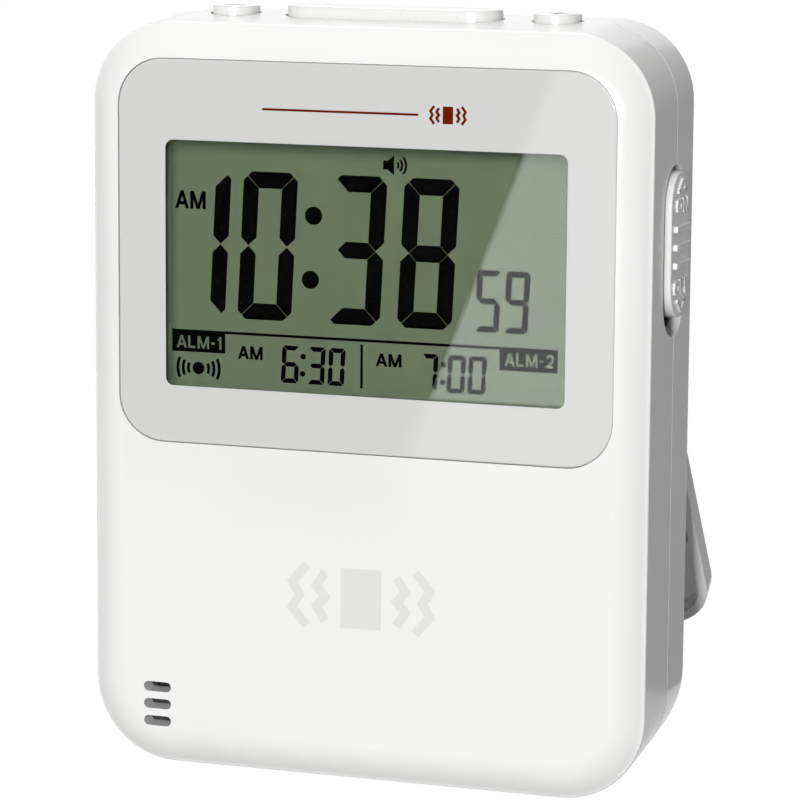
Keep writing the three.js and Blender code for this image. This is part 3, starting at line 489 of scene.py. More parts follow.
rib_tree, given = node_tree("ribs_in_a_row", (
    ("Rib", "Object"), ("Count", "Int"), ("Pitch", "Float"), ("Finish", "Material"),
))
pattern = node(rib_tree, "GeometryNodeObjectInfo", {"Object": given["Rib"]})
step = node(rib_tree, "ShaderNodeCombineXYZ", {"Z": given["Pitch"]})
row = node(rib_tree, "GeometryNodeMeshLine", {"Count": given["Count"], "Offset": step.outputs[0]})
copies = node(rib_tree, "GeometryNodeInstanceOnPoints", {
    "Points": row.outputs[0], "Instance": pattern.outputs["Geometry"],
})
close_tree(rib_tree, copies.outputs[0], given["Finish"])


def wire(name, points, radius, sides=12):
    return grow_tree(strand(name, points), wire_tree, {
        "Wire Radius": radius * MM, "Sides": sides, "Finish": nickel_steel,
    })


# Housing shells
def shell_ring(depth, inset, side, top):
    """One outline of the housing; the lower corners open out from the front edge to the back."""
    edge = CROWN_DEPTH + EDGE_ROUND
    lower = LOWER_CORNER + CORNER_SWEEP * max(0, depth - edge) / (BODY_DEPTH - edge)
    outline = rounded(BODY_WIDTH - 2 * (inset + side), top - 2 * inset,
                      UPPER_CORNER - inset - side, 0, top / 2, 16, lower - inset - side)
    return [facing_front(a, b, depth) for a, b in outline]


def front_ring(depth, inset=0.0):
    share = 1 - depth / PARTING
    return shell_ring(depth, inset, FRONT_DRAFT * share, BODY_HEIGHT - TOP_DRAFT * share)


def rear_ring(depth, inset=0.0):
    share = (depth - PARTING) / (BODY_DEPTH - PARTING)
    return shell_ring(depth, inset, SIDE_DRAFT * share, BODY_HEIGHT)


def inner_ring(depth, grow=0.0):
    top = BODY_HEIGHT - WALL - TOP_DRAFT
    outline = rounded(BODY_WIDTH - 2 * (WALL + SIDE_DRAFT) + 2 * grow, top - WALL + 2 * grow,
                      UPPER_CORNER - WALL - SIDE_DRAFT + grow, 0, (top + WALL) / 2, 16,
                      LOWER_CORNER - SIDE_DRAFT + grow)
    return [facing_front(a, b, depth) for a, b in outline]


def shell_cutters():
    """What both shells lose: key holes, and the slide's opening in a wall thinned from inside."""
    cutters = [slab("key_hole", pill(length + 2 * FIT, width + 2 * FIT, x, PARTING),
                    [(0, 92), (0, 104)], facing_up) for _, x, length, width, _ in KEYS]
    cutters.append(slab("slide_opening", pill(*SLIDE_OPENING, PARTING, SLIDE_AT),
                        flare(BODY_WIDTH / 2, SLIDE_INNER - 0.4, 0.25), facing_side))
    cutters.append(slab("slide_bay", pill(*SLIDE_BAY, PARTING, SLIDE_AT),
                        [(0, 35.5), (0, SLIDE_INNER)], facing_side))
    return cutters


# The shells meet in a fine line: the rear one shows a narrow bevel that looks forward
front_rings = [
    inner_ring(FRONT_WALL), inner_ring(PARTING + LIP), inner_ring(PARTING + LIP, LIP_WIDTH),
    inner_ring(PARTING - SEAM, LIP_WIDTH), front_ring(PARTING - SEAM, 0.1),
    front_ring(PARTING - 0.14), front_ring(CROWN_DEPTH + EDGE_ROUND),
]
for share in (0.75, 0.5, 0.25):
    turn = math.pi / 2 * share
    front_rings.append(front_ring(CROWN_DEPTH + EDGE_ROUND * (1 - math.cos(turn)),
                                  EDGE_ROUND * (1 - math.sin(turn))))
for step in range(14, -1, -1):
    reach = step / 14
    front_rings.append(front_ring(CROWN_DEPTH * reach ** 2,
                                  EDGE_ROUND + (CROWN_WIDTH - EDGE_ROUND) * (1 - reach)))
front_shell = loft("front_shell", front_rings)
front_cutters = shell_cutters()
pocket = rounded(WINDOW[0] + 0.14, WINDOW[1] + 0.14, WINDOW[2] + 0.07, 0, WINDOW_AT)
front_cutters.append(slab("window_pocket", pocket, flare(0, GLASS_FRONT, 0.07)))
front_cutters.append(slab("glass_opening", rounded(60.7, 39.2, 1, 0, VIEW_AT), [(0, 1), (0, 4)]))
for row in range(3):
    z = SLOT_AT[1] + (row - 1) * SLOT_PITCH
    mouth, throat = pill(*SLOT_MOUTH, SLOT_AT[0], z), pill(*SLOT_THROAT, SLOT_AT[0], z + 0.05)
    steps = ((mouth, -1), (mouth, 0.1), (throat, FRONT_WALL), (throat, 4))
    front_cutters.append(loft("sound_slot", [[facing_front(a, b, depth) for a, b in outline]
                                             for outline, depth in steps]))
carve(front_shell, *front_cutters)
dress(front_shell, shell_abs, "housing", ["front_housing"])

rear_rings = [
    inner_ring(INNER_BACK), inner_ring(PARTING + LIP + FIT),
    inner_ring(PARTING + LIP + FIT, GROOVE_WIDTH), inner_ring(PARTING + SEAM, GROOVE_WIDTH),
    rear_ring(PARTING + SEAM, 0.22), rear_ring(PARTING + 0.26),
]
for step in range(7, -1, -1):
    turn = math.pi / 2 * step / 7
    rear_rings.append(rear_ring(BODY_DEPTH - REAR_FILLET * (1 - math.cos(turn)),
                                REAR_FILLET * (1 - math.sin(turn))))
rear_shell = loft("rear_shell", rear_rings)
carve(rear_shell, *shell_cutters())
bosses = [block("bay_tub", (-29.0, 10.05, BAY_AT - 14.2), (29.0, 22.4, BAY_AT + 14.2), 0.3)]
for x in LUGS:
    bosses.append(slab("clip_lug", eye(LUG_RADIUS, 4.8, PIVOT[0], PIVOT[1], -1),
                       rounding(x - LUG_HALF, x + LUG_HALF, 0.15, 0.15, 2), facing_side))
carve(rear_shell, *bosses, operation="UNION")
rear_cutters = [
    block("bay", (-26.0, 10.85, BAY_AT - 11.2), (26.0, 30, BAY_AT + 11.2), 0.4),
    slab("door_opening", rounded(*DOOR_OPENING, 0, BAY_AT),
         flare(BODY_DEPTH, DOOR_FRONT - FIT, 0.15)),
    slab("pin_bore", disc(PIN_BORE, PIVOT[0], PIVOT[1]), [(0, -40), (0, 40)], facing_side),
]
for x in HOOKS:
    left, right = x - HOOK_POCKET_HALF, x + HOOK_POCKET_HALF
    rear_cutters.append(block("hook_pocket", (left, 17.7, 54.05), (right, INNER_BACK, 58.55)))
    rear_cutters.append(block("hook_mouth", (left, 21.1, 55.8), (right, DOOR_FRONT, 58.55)))
for x, z in SCREWS:
    rear_cutters.append(slab("screw_seat", disc(SCREW_SEAT, x, z), flare(BODY_DEPTH, 21.9, 0.12)))
    rear_cutters.append(slab("screw_bore", disc(SCREW_BORE, x, z, 20), [(0, 20), (0, 23)]))
for _, x in SET_BUTTONS:
    rear_cutters.append(slab("set_hole", disc(SET_HOLE, x, SET_AT), flare(BODY_DEPTH, 20, 0.12)))
carve(rear_shell, *rear_cutters)
dress(rear_shell, shell_abs, "housing", ["rear_housing"])

# Display: grey frame, clear view, liquid crystal glass
frame_outline = rounded(WINDOW[0], WINDOW[1], WINDOW[2], 0, WINDOW_AT)
view_outline = rounded(VIEW[0], VIEW[1], VIEW[2], 0.12, VIEW_AT)
VIEW_FLARE = 1.3
rim = [[facing_front(a, b, depth) for a, b in grown(frame_outline, -inset)]
       for inset, depth in rounding(WINDOW_BACK, WINDOW_FRONT, 0, 0.25)]
hole = [[facing_front(a, b, depth) for a, b in grown(view_outline, wider)]
        for wider, depth in ((0, WINDOW_FRONT), (VIEW_FLARE, WINDOW_BACK))]
window_frame = loft("window_frame", rim + hole, closed=True)
dress(window_frame, printed_acrylic, "housing", ["display_window"])
pane = slab("window_pane", grown(view_outline, -0.02),
            [(0, WINDOW_FRONT), (-VIEW_FLARE, WINDOW_BACK)])
dress(pane, clear_acrylic, "housing")
pane.visible_shadow = False
lcd = block("lcd_cell", (-30.05, GLASS_FRONT, 48.75), (30.05, GLASS_BACK, 87.35), 0.1)
dress(lcd, lcd_polariser, "housing", ["lcd_glass"])


# Flat marks: filled outlines and thick lines with a small height
def turned(points):
    area = sum(a[0] * b[1] - b[0] * a[1] for a, b in zip(points, points[1:] + points[:1]))
    return points if area > 0 else points[::-1]


def marks(name, shapes, front, back, place=facing_front):
    return join(name, *[slab("mark", turned(list(points)), [(0, back), (0, front)], place)
                        for points in shapes])


def stroke(points, width):
    """The outline of a thick line with mitred joints and square ends."""
    left, right = [], []
    for at, here in enumerate(points):
        here = Vector(here)
        ways = []
        if at > 0:
            ways.append((here - Vector(points[at - 1])).normalized())
        if at + 1 < len(points):
            ways.append((Vector(points[at + 1]) - here).normalized())
        normals = [Vector((-way.y, way.x)) for way in ways]
        middle = sum(normals, Vector((0, 0))).normalized()
        reach = middle * (width / 2 / max(middle.dot(normals[0]), 0.45))
        left.append(tuple(here + reach))
        right.append(tuple(here - reach))
    return right + left[::-1]


def box_shape(left, right, low, high):
    return [(left, low), (right, low), (right, high), (left, high)]


def vibration_mark(x, z, wide, high):
    """A box that shakes: a plain rectangle between two pairs of zigzags."""
    shapes = [box_shape(x - 2.84 * wide, x + 2.84 * wide, z - 4.03 * high, z + 4.03 * high)]
    for side in (-1, 1):
        for near, tall, swing, back in ((7.55, 4.1, 2.05, 1.0), (5.0, 3.25, 1.2, 0.0)):
            line = [(near, tall), (near + swing, tall * 0.42), (near + back, 0.0),
                    (near + swing, -tall * 0.42), (near, -tall)]
            points = [(x + side * a * wide, z + b * high) for a, b in line]
            shapes.append(stroke(points, 1.25 * high))
    return shapes


LETTERS = {
    "A": (1.0, [(0, 0), (0.5, 1)], [(1, 0), (0.5, 1)], [(0.2, 0.26), (0.8, 0.26)]),
    "M": (1.15, [(0, 0), (0, 1)], [(1, 0), (1, 1)], [(0.5, 0), (0.04, 1)], [(0.5, 0), (0.96, 1)]),
    "L": (0.75, [(0, 0), (0, 1)], [(0, 0), (1, 0)]),
    "N": (0.95, [(0, 0), (0, 1)], [(1, 0), (1, 1)], [(1, 0), (0, 1)]),
    "F": (0.75, [(0, 0), (0, 1)], [(0, 1), (1, 1)], [(0, 0.52), (0.8, 0.52)]),
    "O": (1.0, [(0.5, 1), (0.12, 0.86), (0, 0.5), (0.12, 0.14), (0.5, 0)],
          [(0.5, 0), (0.88, 0.14), (1, 0.5), (0.88, 0.86), (0.5, 1)]),
    "1": (0.4, [(0, 0.76), (0.7, 0.98)], [(0.7, 0), (0.7, 1)]),
    "2": (0.75, [(0, 0.8), (0.25, 1), (0.8, 1), (1, 0.75), (0.9, 0.5), (0, 0), (1, 0)]),
    "-": (0.4, [(0, 0.45), (1, 0.45)]),
}


def leg(foot, head, width):
    """A steep stroke whose two ends are cut level."""
    half = width / 2
    return [(foot[0] - half, foot[1]), (foot[0] + half, foot[1]),
            (head[0] + half, head[1]), (head[0] - half, head[1])]


def letters(text, left, right, low, high, width):
    """Plain capitals of thick lines, fitted to a box."""
    gap = 0.42
    total = sum(LETTERS[sign][0] for sign in text) + gap * (len(text) - 1)
    unit = (right - left - width) / total
    x = left + width / 2
    shapes = []
    for sign in text:
        wide, *lines = LETTERS[sign]
        for line in lines:
            steep = len(line) == 2 and line[1][1] - line[0][1] > 0.5
            edge = 0 if steep else width / 2
            points = [(x + a * wide * unit, low + edge + b * (high - low - 2 * edge))
                      for a, b in line]
            shapes.append(leg(*points, width) if steep else stroke(points, width))
        x += (wide + gap) * unit
    return shapes


front_mark = marks("front_vibration_mark", vibration_mark(0.2, 24.85, 1.0, 1.0), -0.02, 0.05)
dress(front_mark, grey_ink, "housing")
window_prints = vibration_mark(11.6, 88.8, 0.245, 0.28) + [box_shape(-13.8, 7.6, 88.6, 88.9)]
window_print = marks("window_print", window_prints, WINDOW_FRONT - 0.02, WINDOW_FRONT + 0.05)
dress(window_print, brown_ink, "housing")

# Seven-segment figures
SEGMENTS = {
    "0": "abcdef", "1": "bc", "3": "abgcd", "5": "afgcd", "6": "afgedc", "7": "abc",
    "8": "abcdefg", "9": "abfgcd",
}


def figure(digit, x, z, width, height, thick):
    """The lit segments of one digit, leaning a little to the right."""
    slant, gap, wide_gap = 0.05, 0.033, 0.0462
    half, middle, cut = height / 2, thick / 2, thick * 0.53
    upper = [
        (0, height - cut), (cut / 2 - gap, height - cut / 2 - gap),
        (thick, height - thick - wide_gap), (thick, half + middle + gap),
        (middle, half + wide_gap), (0, half + middle + gap),
    ]
    top = [
        (cut / 2 + gap, height - cut / 2 + gap), (cut, height), (width - cut, height),
        (width - cut / 2 - gap, height - cut / 2 + gap), (width - thick - gap, height - thick),
        (thick + gap, height - thick),
    ]
    bar = [
        (middle + wide_gap, half), (thick + gap, half + middle),
        (width - thick - gap, half + middle), (width - middle - wide_gap, half),
        (width - thick - gap, half - middle), (thick + gap, half - middle),
    ]

    def across(points):
        return [(width - a, b) for a, b in points]

    def down(points):
        return [(a, height - b) for a, b in points]

    shapes = {"a": top, "b": across(upper), "c": across(down(upper)), "d": down(top),
              "e": down(upper), "f": upper, "g": bar}
    return [[(x + a + b * slant, z + b) for a, b in shapes[one]] for one in SEGMENTS[digit]]


def arc(x, z, radius, middle, spread, width, steps=8):
    turns = [math.radians(middle - spread + 2 * spread * step / steps) for step in range(steps + 1)]
    points = [(x + radius * math.cos(turn), z + radius * math.sin(turn)) for turn in turns]
    return stroke(points, width)


# The view bends the line of sight, so the figures lie a little to the left and higher than drawn
def behind_view(shapes):
    return [[(a - 0.31, b + 0.09) for a, b in points] for points in shapes]


figures = []
CLOCK = (("1", -26.6, 7.45), ("0", -17.4, 7.55), ("3", -5.0, 7.45), ("8", 4.8, 7.47))
SECONDS = (("5", 15.34, 3.28), ("9", 19.25, 3.24))
FIRST_ALARM = (("6", -11.27, 2.43), ("3", -7.62, 2.4), ("0", -4.74, 2.28))
SECOND_ALARM = (("7", 8.05, 2.25), ("0", 11.64, 2.42), ("0", 14.47, 2.44))
for digits, low, height, thick in (
    (CLOCK, 60.87, 19.52, 2.17), (SECONDS, 60.87, 8.05, 0.78),
    (FIRST_ALARM, 52.7, 4.97, 0.62), (SECOND_ALARM, 52.69, 4.95, 0.62),
):
    for digit, x, width in digits:
        figures += figure(digit, x, low, width, height, thick)
for x, z in ((-6.75, 74.92), (-7.15, 66.5)):
    figures.append(disc(1.2, x, z, 24))
for x, z in ((-8.12, 56.3), (-8.2, 54.02), (11.28, 56.33), (11.13, 54.02)):
    figures.append(disc(0.38, x, z, 12))
figures.append(box_shape(-26.64, 19.5, 58.72, 59.07))
figures.append(box_shape(-0.17, 0.17, 52.58, 58.36))
figures.append(box_shape(-26.65, -19.1, 56.1, 58.85))
figures.append(box_shape(18.82, 26.61, 56.05, 59.07))
BELL = (-22.9, 53.97)
figures.append(disc(0.85, *BELL, 16))
for side in (0, 180):
    for radius in (1.45, 2.2, 2.95):
        figures.append(arc(*BELL, radius, side, 27, 0.42))
figures.append([(2.8, 81.35), (3.4, 81.35), (4.3, 80.65), (4.3, 83.2), (3.4, 82.5), (2.8, 82.5)])
for radius in (0.55, 1.05, 1.6):
    figures.append(arc(4.33, 81.93, radius, 0, 42, 0.3))
for spot in ((-26.19, -21.84, 75.12, 77.5, 0.46), (-17.32, -13.8, 55.52, 57.28, 0.38),
             (1.93, 5.5, 55.62, 57.33, 0.38)):
    figures += letters("AM", *spot)
dark_figures = marks("lcd_dark_figures", behind_view(figures),
                     GLASS_FRONT - 0.03, GLASS_FRONT + 0.02)
dress(dark_figures, lcd_figure, "housing")
names = letters("ALM-1", -26.0, -19.5, 56.6, 58.25, 0.3)
names += letters("ALM-2", 19.5, 26.15, 56.65, 58.4, 0.3)
pale_letters = marks("lcd_pale_letters", behind_view(names), GLASS_FRONT - 0.05, GLASS_FRONT - 0.02)
dress(pale_letters, lcd_polariser, "housing")

# Keys on the top
for name, x, length, width, rise in KEYS:
    node_name = "snooze_bar" if name == "snooze" else name + "_button"
    top = BODY_HEIGHT + rise
    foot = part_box(node_name)[0][2] / MM
    cap = slab(name + "_cap", pill(length, width, x, PARTING),
               rounding(KEY_FOOT, top, 0, 0.3, 5), facing_up)
    flange = slab("flange", pill(length + 2, width + 2, x, PARTING),
                  [(0, along) for along in KEY_FLANGE], facing_up)
    stem = slab("stem", disc(STEM, x, PARTING, 16), [(0, foot), (0, 96.3)], facing_up)
    dress(join(name + "_key", cap, flange, stem), key_abs, node_name, [node_name])
    if name != "snooze":
        arms = [box_shape(x - 1.3, x + 1.3, PARTING - 0.22, PARTING + 0.22)]
        if name == "plus":
            arms.append(box_shape(x - 0.22, x + 0.22, PARTING - 1.3, PARTING + 1.3))
        sign = marks(name + "_sign", arms, top + 0.03, top - 0.05, facing_up)
        dress(sign, mark_ink, node_name)

# On and off slide at the side, with grip ribs and raised signs
shank_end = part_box("alarm_slide")[0][0] / MM
cap = slab("slide_cap", pill(*CAP, PARTING, CAP_AT), rounding(CAP_BACK, CAP_FACE, 0, 0.25, 4),
           facing_side)
shank = block("slide_shank", (shank_end, PARTING - 1.2, CAP_AT - 2),
              (CAP_BACK + 0.5, PARTING + 1.2, CAP_AT + 2), 0.1)
dress(join("slide_button", cap, shank), shell_abs, "alarm_slide", ["alarm_slide"])
rib = slab("grip_rib", rounded(6.3, 0.85, 0.15, PARTING - 0.25, CAP_AT - 2.5, 4),
           rounding(CAP_FACE - 0.2, CAP_FACE + 0.55, 0, 0.15, 3), facing_side)
grip_ribs = grow_tree(strand("slide_grip_ribs", [Vector((0, 0, 0))]), rib_tree, {
    "Rib": rib, "Count": 3, "Pitch": 2.37 * MM, "Finish": shell_abs,
})
bpy.data.objects.remove(rib)
dress(grip_ribs, shell_abs, "alarm_slide")
signs = letters("ON", PARTING - 2.8, PARTING + 2.7, 76.3, 78.2, 0.5)
signs += letters("OFF", PARTING - 3.5, PARTING + 3.6, 65.65, 67.65, 0.5)
up_sign = [(PARTING - 2.0, 79.1), (PARTING + 1.6, 79.1), (PARTING, 80.5)]
down_sign = [(PARTING - 1.9, 64.85), (PARTING, 63.45), (PARTING + 1.8, 64.85)]
for sign in (up_sign, down_sign):
    signs += [stroke([start, end], 0.45) for start, end in zip(sign, sign[1:] + sign[:1])]
slide_signs = marks("slide_signs", signs, CAP_FACE + 0.3, CAP_FACE - 0.1, facing_side)
dress(slide_signs, shell_abs, "alarm_slide")

# Set buttons on the back
for name, x in SET_BUTTONS:
    node_name = name + "_button"
    foot = (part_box(node_name)[0][1]) / MM + BODY_DEPTH / 2
    cap = slab("cap", disc(SET_CAP, x, SET_AT), rounding(20.6, 24.0, 0, 0.35, 5))
    flange = slab("flange", disc(SET_FLANGE, x, SET_AT), [(0, 20.1), (0, 21.1)])
    stem = slab("stem", disc(STEM, x, SET_AT, 16), [(0, foot), (0, 20.6)])
    dress(join(name + "_key", cap, flange, stem), key_abs, node_name, [node_name])

# Battery door with its hooks and finger grip
door = slab("battery_lid", rounded(*DOOR, 0, BAY_AT, 8),
            rounding(DOOR_FRONT, BODY_DEPTH, 0.1, 0.25, 3))
carve(door, slab("grip", pill(14, 2.4, 0, 79.15), [(0, 22.9), (-0.25, 24.0)]))
hooks = []
for x in HOOKS:
    left, right = x - HOOK_HALF, x + HOOK_HALF
    hooks.append(block("hook", (left, 20.3, 54.65), (right, 21.1, 57.55), 0.1))
    hooks.append(block("hook_root", (left, 20.3, 56.35), (right, 22.35, 57.55), 0.1))
dress(join("door_with_hooks", door, *hooks), shell_abs, "battery_door", ["battery_door"])

# Dry cells and their contacts
# Distance along the cell and radius, for the foil jacket and for the metal that shows at its ends
JACKET = ((-19.4, 4.8), (-19.3, 5.05), (-19.0, 5.25), (23.4, 5.25), (23.75, 5.1), (23.9, 4.75))
POLES = ((-19.5, 4.4), (-19.45, 4.6), (23.95, 4.6), (24.0, 4.4), (24.0, 2.0), (24.15, 1.9),
         (24.85, 1.9), (25.0, 1.7))
CONTACT_TURNS, CONTACT_STEPS = 3.5, 84
WIDE_COIL, NARROW_COIL, COIL_FOOT, COIL_HEAD = 3.57, 2.31, -25.5, -20.1


def turned_along(profile, side, z):
    """Rings of a round body that lies along X at the cells' depth."""
    return [[facing_side(CELL_DEPTH + a, z + b, side * x) for a, b in disc(radius, sides=48)]
            for x, radius in profile]


for name, side, z in CELLS:
    jacket = loft("cell_jacket_" + name, turned_along(JACKET, side, z))
    dress(jacket, cell_foil, "housing", ["battery_" + name])
    ends = loft("cell_ends_" + name, turned_along(POLES, side, z))
    dress(ends, nickel_steel, "housing")
    coil = []
    for step in range(CONTACT_STEPS + 1):
        share = step / CONTACT_STEPS
        radius = WIDE_COIL + (NARROW_COIL - WIDE_COIL) * share
        turn = share * CONTACT_TURNS * 2 * math.pi
        x = COIL_FOOT + (COIL_HEAD - COIL_FOOT) * share
        coil.append(facing_side(CELL_DEPTH + radius * math.cos(turn), z + radius * math.sin(turn),
                                side * x))
    spring = wire("coil", coil, 0.3)
    near, far = sorted((side * -25.7, side * -25.3))
    sheet = slab("sheet", rounded(8.5, 8.5, 0.8, CELL_DEPTH, z, 4), [(0, near), (0, far)],
                 facing_side)
    contact = join("coil_contact_" + name, spring, sheet)
    dress(contact, nickel_steel, "housing", ["spring_contact_" + name])

# Housing screws, each turned to its own stop
bore_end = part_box("housing_screw_upper_left")[0][1] / MM + BODY_DEPTH / 2
DRIVE, DRIVE_HALF, THREAD_STEP = 1.25, 0.28, 0.4
head = slab("screw_head", disc(SCREW_HEAD), rounding(22.2, 23.3, 0.05, 0.4, 5))
carve(head, *[slab("drive", box_shape(-across, across, -high, high), [(0.1, 22.6), (0, 24)])
              for across, high in ((DRIVE, DRIVE_HALF), (DRIVE_HALF, DRIVE))])
profile = [(bore_end, 0.6)]
for turn in range(int((22.0 - bore_end) / THREAD_STEP)):
    profile.append((bore_end + 0.5 + THREAD_STEP * turn, 1.0 if turn % 2 else 0.8))
profile.append((22.25, 1.0))
thread = [[facing_front(a, b, depth) for a, b in disc(radius, sides=20)]
          for depth, radius in profile]
screw = join("screw", head, loft("shank", thread))
places = bpy.data.meshes.new("screw_places")
places.from_pydata([Vector((x, 0, z)) * MM for x, z in SCREWS], [], [])
housing_screws = bpy.data.objects.new("housing_screws", places)
scene.collection.objects.link(housing_screws)
grow_tree(housing_screws, screw_tree, {"Screw": screw, "Turn Step": 0.7, "Finish": zinc_screw})
bpy.data.objects.remove(screw)
corners = ("upper_left", "upper_right", "lower_left", "lower_right")
dress(housing_screws, zinc_screw, "housing", ["housing_screw_" + corner for corner in corners])

# Clip: a pan-shaped lever on a pin, pressed against the back by a torsion spring
RIM_PLANE, LEVER_FACE, PLATE_FRONT = 2.25, 5.35, 3.7
lever = slab("clip_pan", rounded(74.0, 39.25, 1.0, 0, -6.125, 12, 9.0),
             rounding(RIM_PLANE, LEVER_FACE, 0.1, 0.2, 3), on_lever)
pan = [(0, -1), (0, PLATE_FRONT - 0.3), (0.09, PLATE_FRONT - 0.09), (0.3, PLATE_FRONT)]
carve(lever, slab("handle_pocket", rounded(71.5, 15.5, 1.0, 0, -16.75, 10, 7.75), pan, on_lever),
      slab("jaw_pocket", rounded(71.5, 16.2, 1.0, 0, -0.1, 5), pan, on_lever))
carve(lever, *[slab("ear", eye(LUG_RADIUS, 4.45),
                    rounding(x - LUG_HALF, x + LUG_HALF, 0.12, 0.12, 2), across_lever)
               for x in EARS], operation="UNION")
carve(lever, slab("pin_bore", disc(PIN_BORE), [(0, -40), (0, 40)], across_lever),
      block("jaw_face", (-60, 0, 20), (60, BODY_DEPTH + FIT, 70)))
dress(lever, shell_abs, "clip", ["clip_lever"])
pin = slab("hinge_pin", disc(PIN_RADIUS, PIVOT[0], PIVOT[1], 32),
           rounding(-PIN_HALF, PIN_HALF, 0.2, 0.2, 3), facing_side)
dress(pin, nickel_steel, "housing", ["clip_pin"])


def by_pin(x, out, up):
    return facing_front(x, PIVOT[1] + up, PIVOT[0] + out)


COIL_RADIUS, COIL_HALF, COIL_TURNS, COIL_START = 1.65, 4.5, 5.34, math.radians(170)
COIL_STEPS, ARM_OUT, ARM_DOWN = 128, 3.05, 3.85
coil = []
# The fixed arm rises from the back to the first turn
for step in range(8):
    share = step / 8
    coil.append(by_pin(-COIL_HALF, -3.15 + (COIL_RADIUS * math.cos(COIL_START) + 3.15) * share,
                       -9 + (COIL_RADIUS * math.sin(COIL_START) + 9) * share))
for step in range(COIL_STEPS + 1):
    turn = COIL_START - step / COIL_STEPS * COIL_TURNS * 2 * math.pi
    coil.append(by_pin(2 * COIL_HALF * (step / COIL_STEPS - 0.5), COIL_RADIUS * math.cos(turn),
                       COIL_RADIUS * math.sin(turn)))
# The moving arm runs down the lever from the last turn
leaves = COIL_START - COIL_TURNS * 2 * math.pi
end_out = ARM_OUT * math.cos(LEAN) + ARM_DOWN * math.sin(LEAN)
end_up = ARM_OUT * math.sin(LEAN) - ARM_DOWN * math.cos(LEAN)
for step in range(1, 7):
    share = step / 6
    coil.append(by_pin(COIL_HALF, COIL_RADIUS * math.cos(leaves) * (1 - share) + end_out * share,
                       COIL_RADIUS * math.sin(leaves) * (1 - share) + end_up * share))
torsion_spring = wire("torsion_spring", coil, 0.35)
dress(torsion_spring, nickel_steel, None)
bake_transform(torsion_spring)
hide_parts("clip_spring")

# Camera at the photograph's place
camera = bpy.data.objects.new("camera", bpy.data.cameras.new("camera"))
scene.collection.objects.link(camera)
camera.location = (0.160282, -0.462823, 0.129126)
camera.rotation_euler = [math.radians(angle) for angle in (80.77539, -0.40262, 19.00769)]
camera.data.sensor_width = 36
camera.data.lens = 167.652
camera.data.clip_start = 0.01
scene.camera = camera


# Floor, world and studio lights
def seen_directly(tree):
    """1 for what the camera, a reflection or a clear piece sees, 0 for light on the object."""
    ray = node(tree, "ShaderNodeLightPath").outputs
    seen = node(tree, "ShaderNodeMath", {0: ray["Is Camera Ray"], 1: ray["Is Glossy Ray"]},
                operation="MAXIMUM")
    return node(tree, "ShaderNodeMath", {0: seen.outputs[0], 1: ray["Is Transmission Ray"]},
                operation="MAXIMUM").outputs[0]


floor_form = bmesh.new()
bmesh.ops.create_grid(floor_form, x_segments=1, y_segments=1, size=4)
floor = link("floor", floor_form)
floor.location.z = -0.0002
floor_paper = bpy.data.materials.new("white_paper")
floor_paper.use_nodes = True
tree = floor_paper.node_tree
tree.nodes.clear()
share = node(tree, "ShaderNodeMath", {0: seen_directly(tree), 1: 0.96}, operation="MULTIPLY")
paper = node(tree, "ShaderNodeBsdfDiffuse", {"Color": color("#6c6c6c")})
glow = node(tree, "ShaderNodeEmission", {"Color": color("#ffffff"), "Strength": 1.035})
both = node(tree, "ShaderNodeMixShader", {
    0: share.outputs[0], 1: paper.outputs[0], 2: glow.outputs[0],
})
node(tree, "ShaderNodeOutputMaterial", {"Surface": both.outputs[0]})
floor.data.materials.append(floor_paper)
floor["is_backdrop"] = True

world = bpy.data.worlds.new("studio")
scene.world = world
world.use_nodes = True
tree = world.node_tree
tree.nodes.clear()
level = node(tree, "ShaderNodeMapRange", {
    "Value": seen_directly(tree), "To Min": 0.26, "To Max": 1.0,
})
sky = node(tree, "ShaderNodeBackground", {"Color": color("#ffffff"), "Strength": level.outputs[0]})
node(tree, "ShaderNodeOutputWorld", {"Surface": sky.outputs[0]})


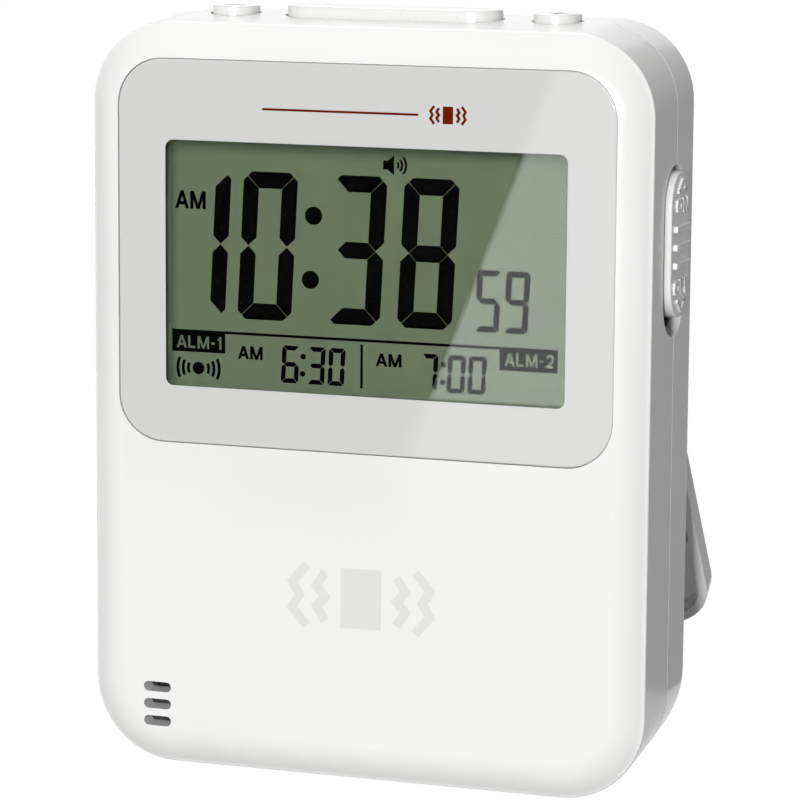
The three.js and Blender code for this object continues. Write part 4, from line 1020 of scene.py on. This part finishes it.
def lamp(name, spot, aim, size, watts):
    data = bpy.data.lights.new(name, "AREA")
    data.shape = "SQUARE"
    data.size = size
    data.energy = watts
    made = bpy.data.objects.new(name, data)
    scene.collection.objects.link(made)
    made.location = spot
    made.rotation_euler = (Vector(aim) - Vector(spot)).to_track_quat("-Z", "Y").to_euler()
    return made


lamp("front_softbox", (0.0, -2.4, 0.25), (0, 0, 0.05), 0.7, 20.0)
lamp("right_softbox", (0.36, -2.37, 0.25), (0, 0, 0.05), 0.2, 30.5)
lamp("top_softbox", (-0.1, 0.25, 1.2), (0, 0, 0.05), 0.6, 4.2)
lamp("back_softbox", (-0.7, 1.85, 1.45), (0, 0, 0.05), 0.7, 19.0)


# Cards that only the gloss sees: one makes the glare, two keep the view clear and the side grey
def mirrored(x, z, reach):
    """Where the line of sight goes after the window at (x, z), reach times as far again."""
    spot = facing_front(x, z, WINDOW_FRONT) * MM
    way = spot - camera.location
    return spot + Vector((way.x, -way.y, way.z)) * reach


def gloss_card(name, corners, strength):
    form = bmesh.new()
    form.faces.new([form.verts.new(corner) for corner in corners])
    made = link(name, form)
    material = bpy.data.materials.new(name)
    material.use_nodes = True
    tree = material.node_tree
    tree.nodes.clear()
    light = node(tree, "ShaderNodeEmission", {"Color": color("#ffffff"), "Strength": strength})
    node(tree, "ShaderNodeOutputMaterial", {"Surface": light.outputs[0]})
    made.data.materials.append(material)
    for way in ("camera", "diffuse", "volume_scatter", "shadow"):
        setattr(made, "visible_" + way, False)
    made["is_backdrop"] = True
    return made


glare = ((26.15, 96.0), (5.45, 42.0), (44.0, 42.0), (44.0, 96.0))
gloss_card("bright_card", [mirrored(x, z, 0.28) for x, z in glare], 1.8)
clear = ((-44.0, 36.0), (44.0, 36.0), (44.0, 104.0), (-44.0, 104.0))
gloss_card("dark_card", [mirrored(x, z, 0.3) for x, z in clear], 0.0)
beside = ((0.0385, 0.0), (0.35, 0.0), (0.35, 0.2), (0.0385, 0.2))
gloss_card("side_card", [(x, 0.05, z) for x, z in beside], 0.48)

low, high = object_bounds()
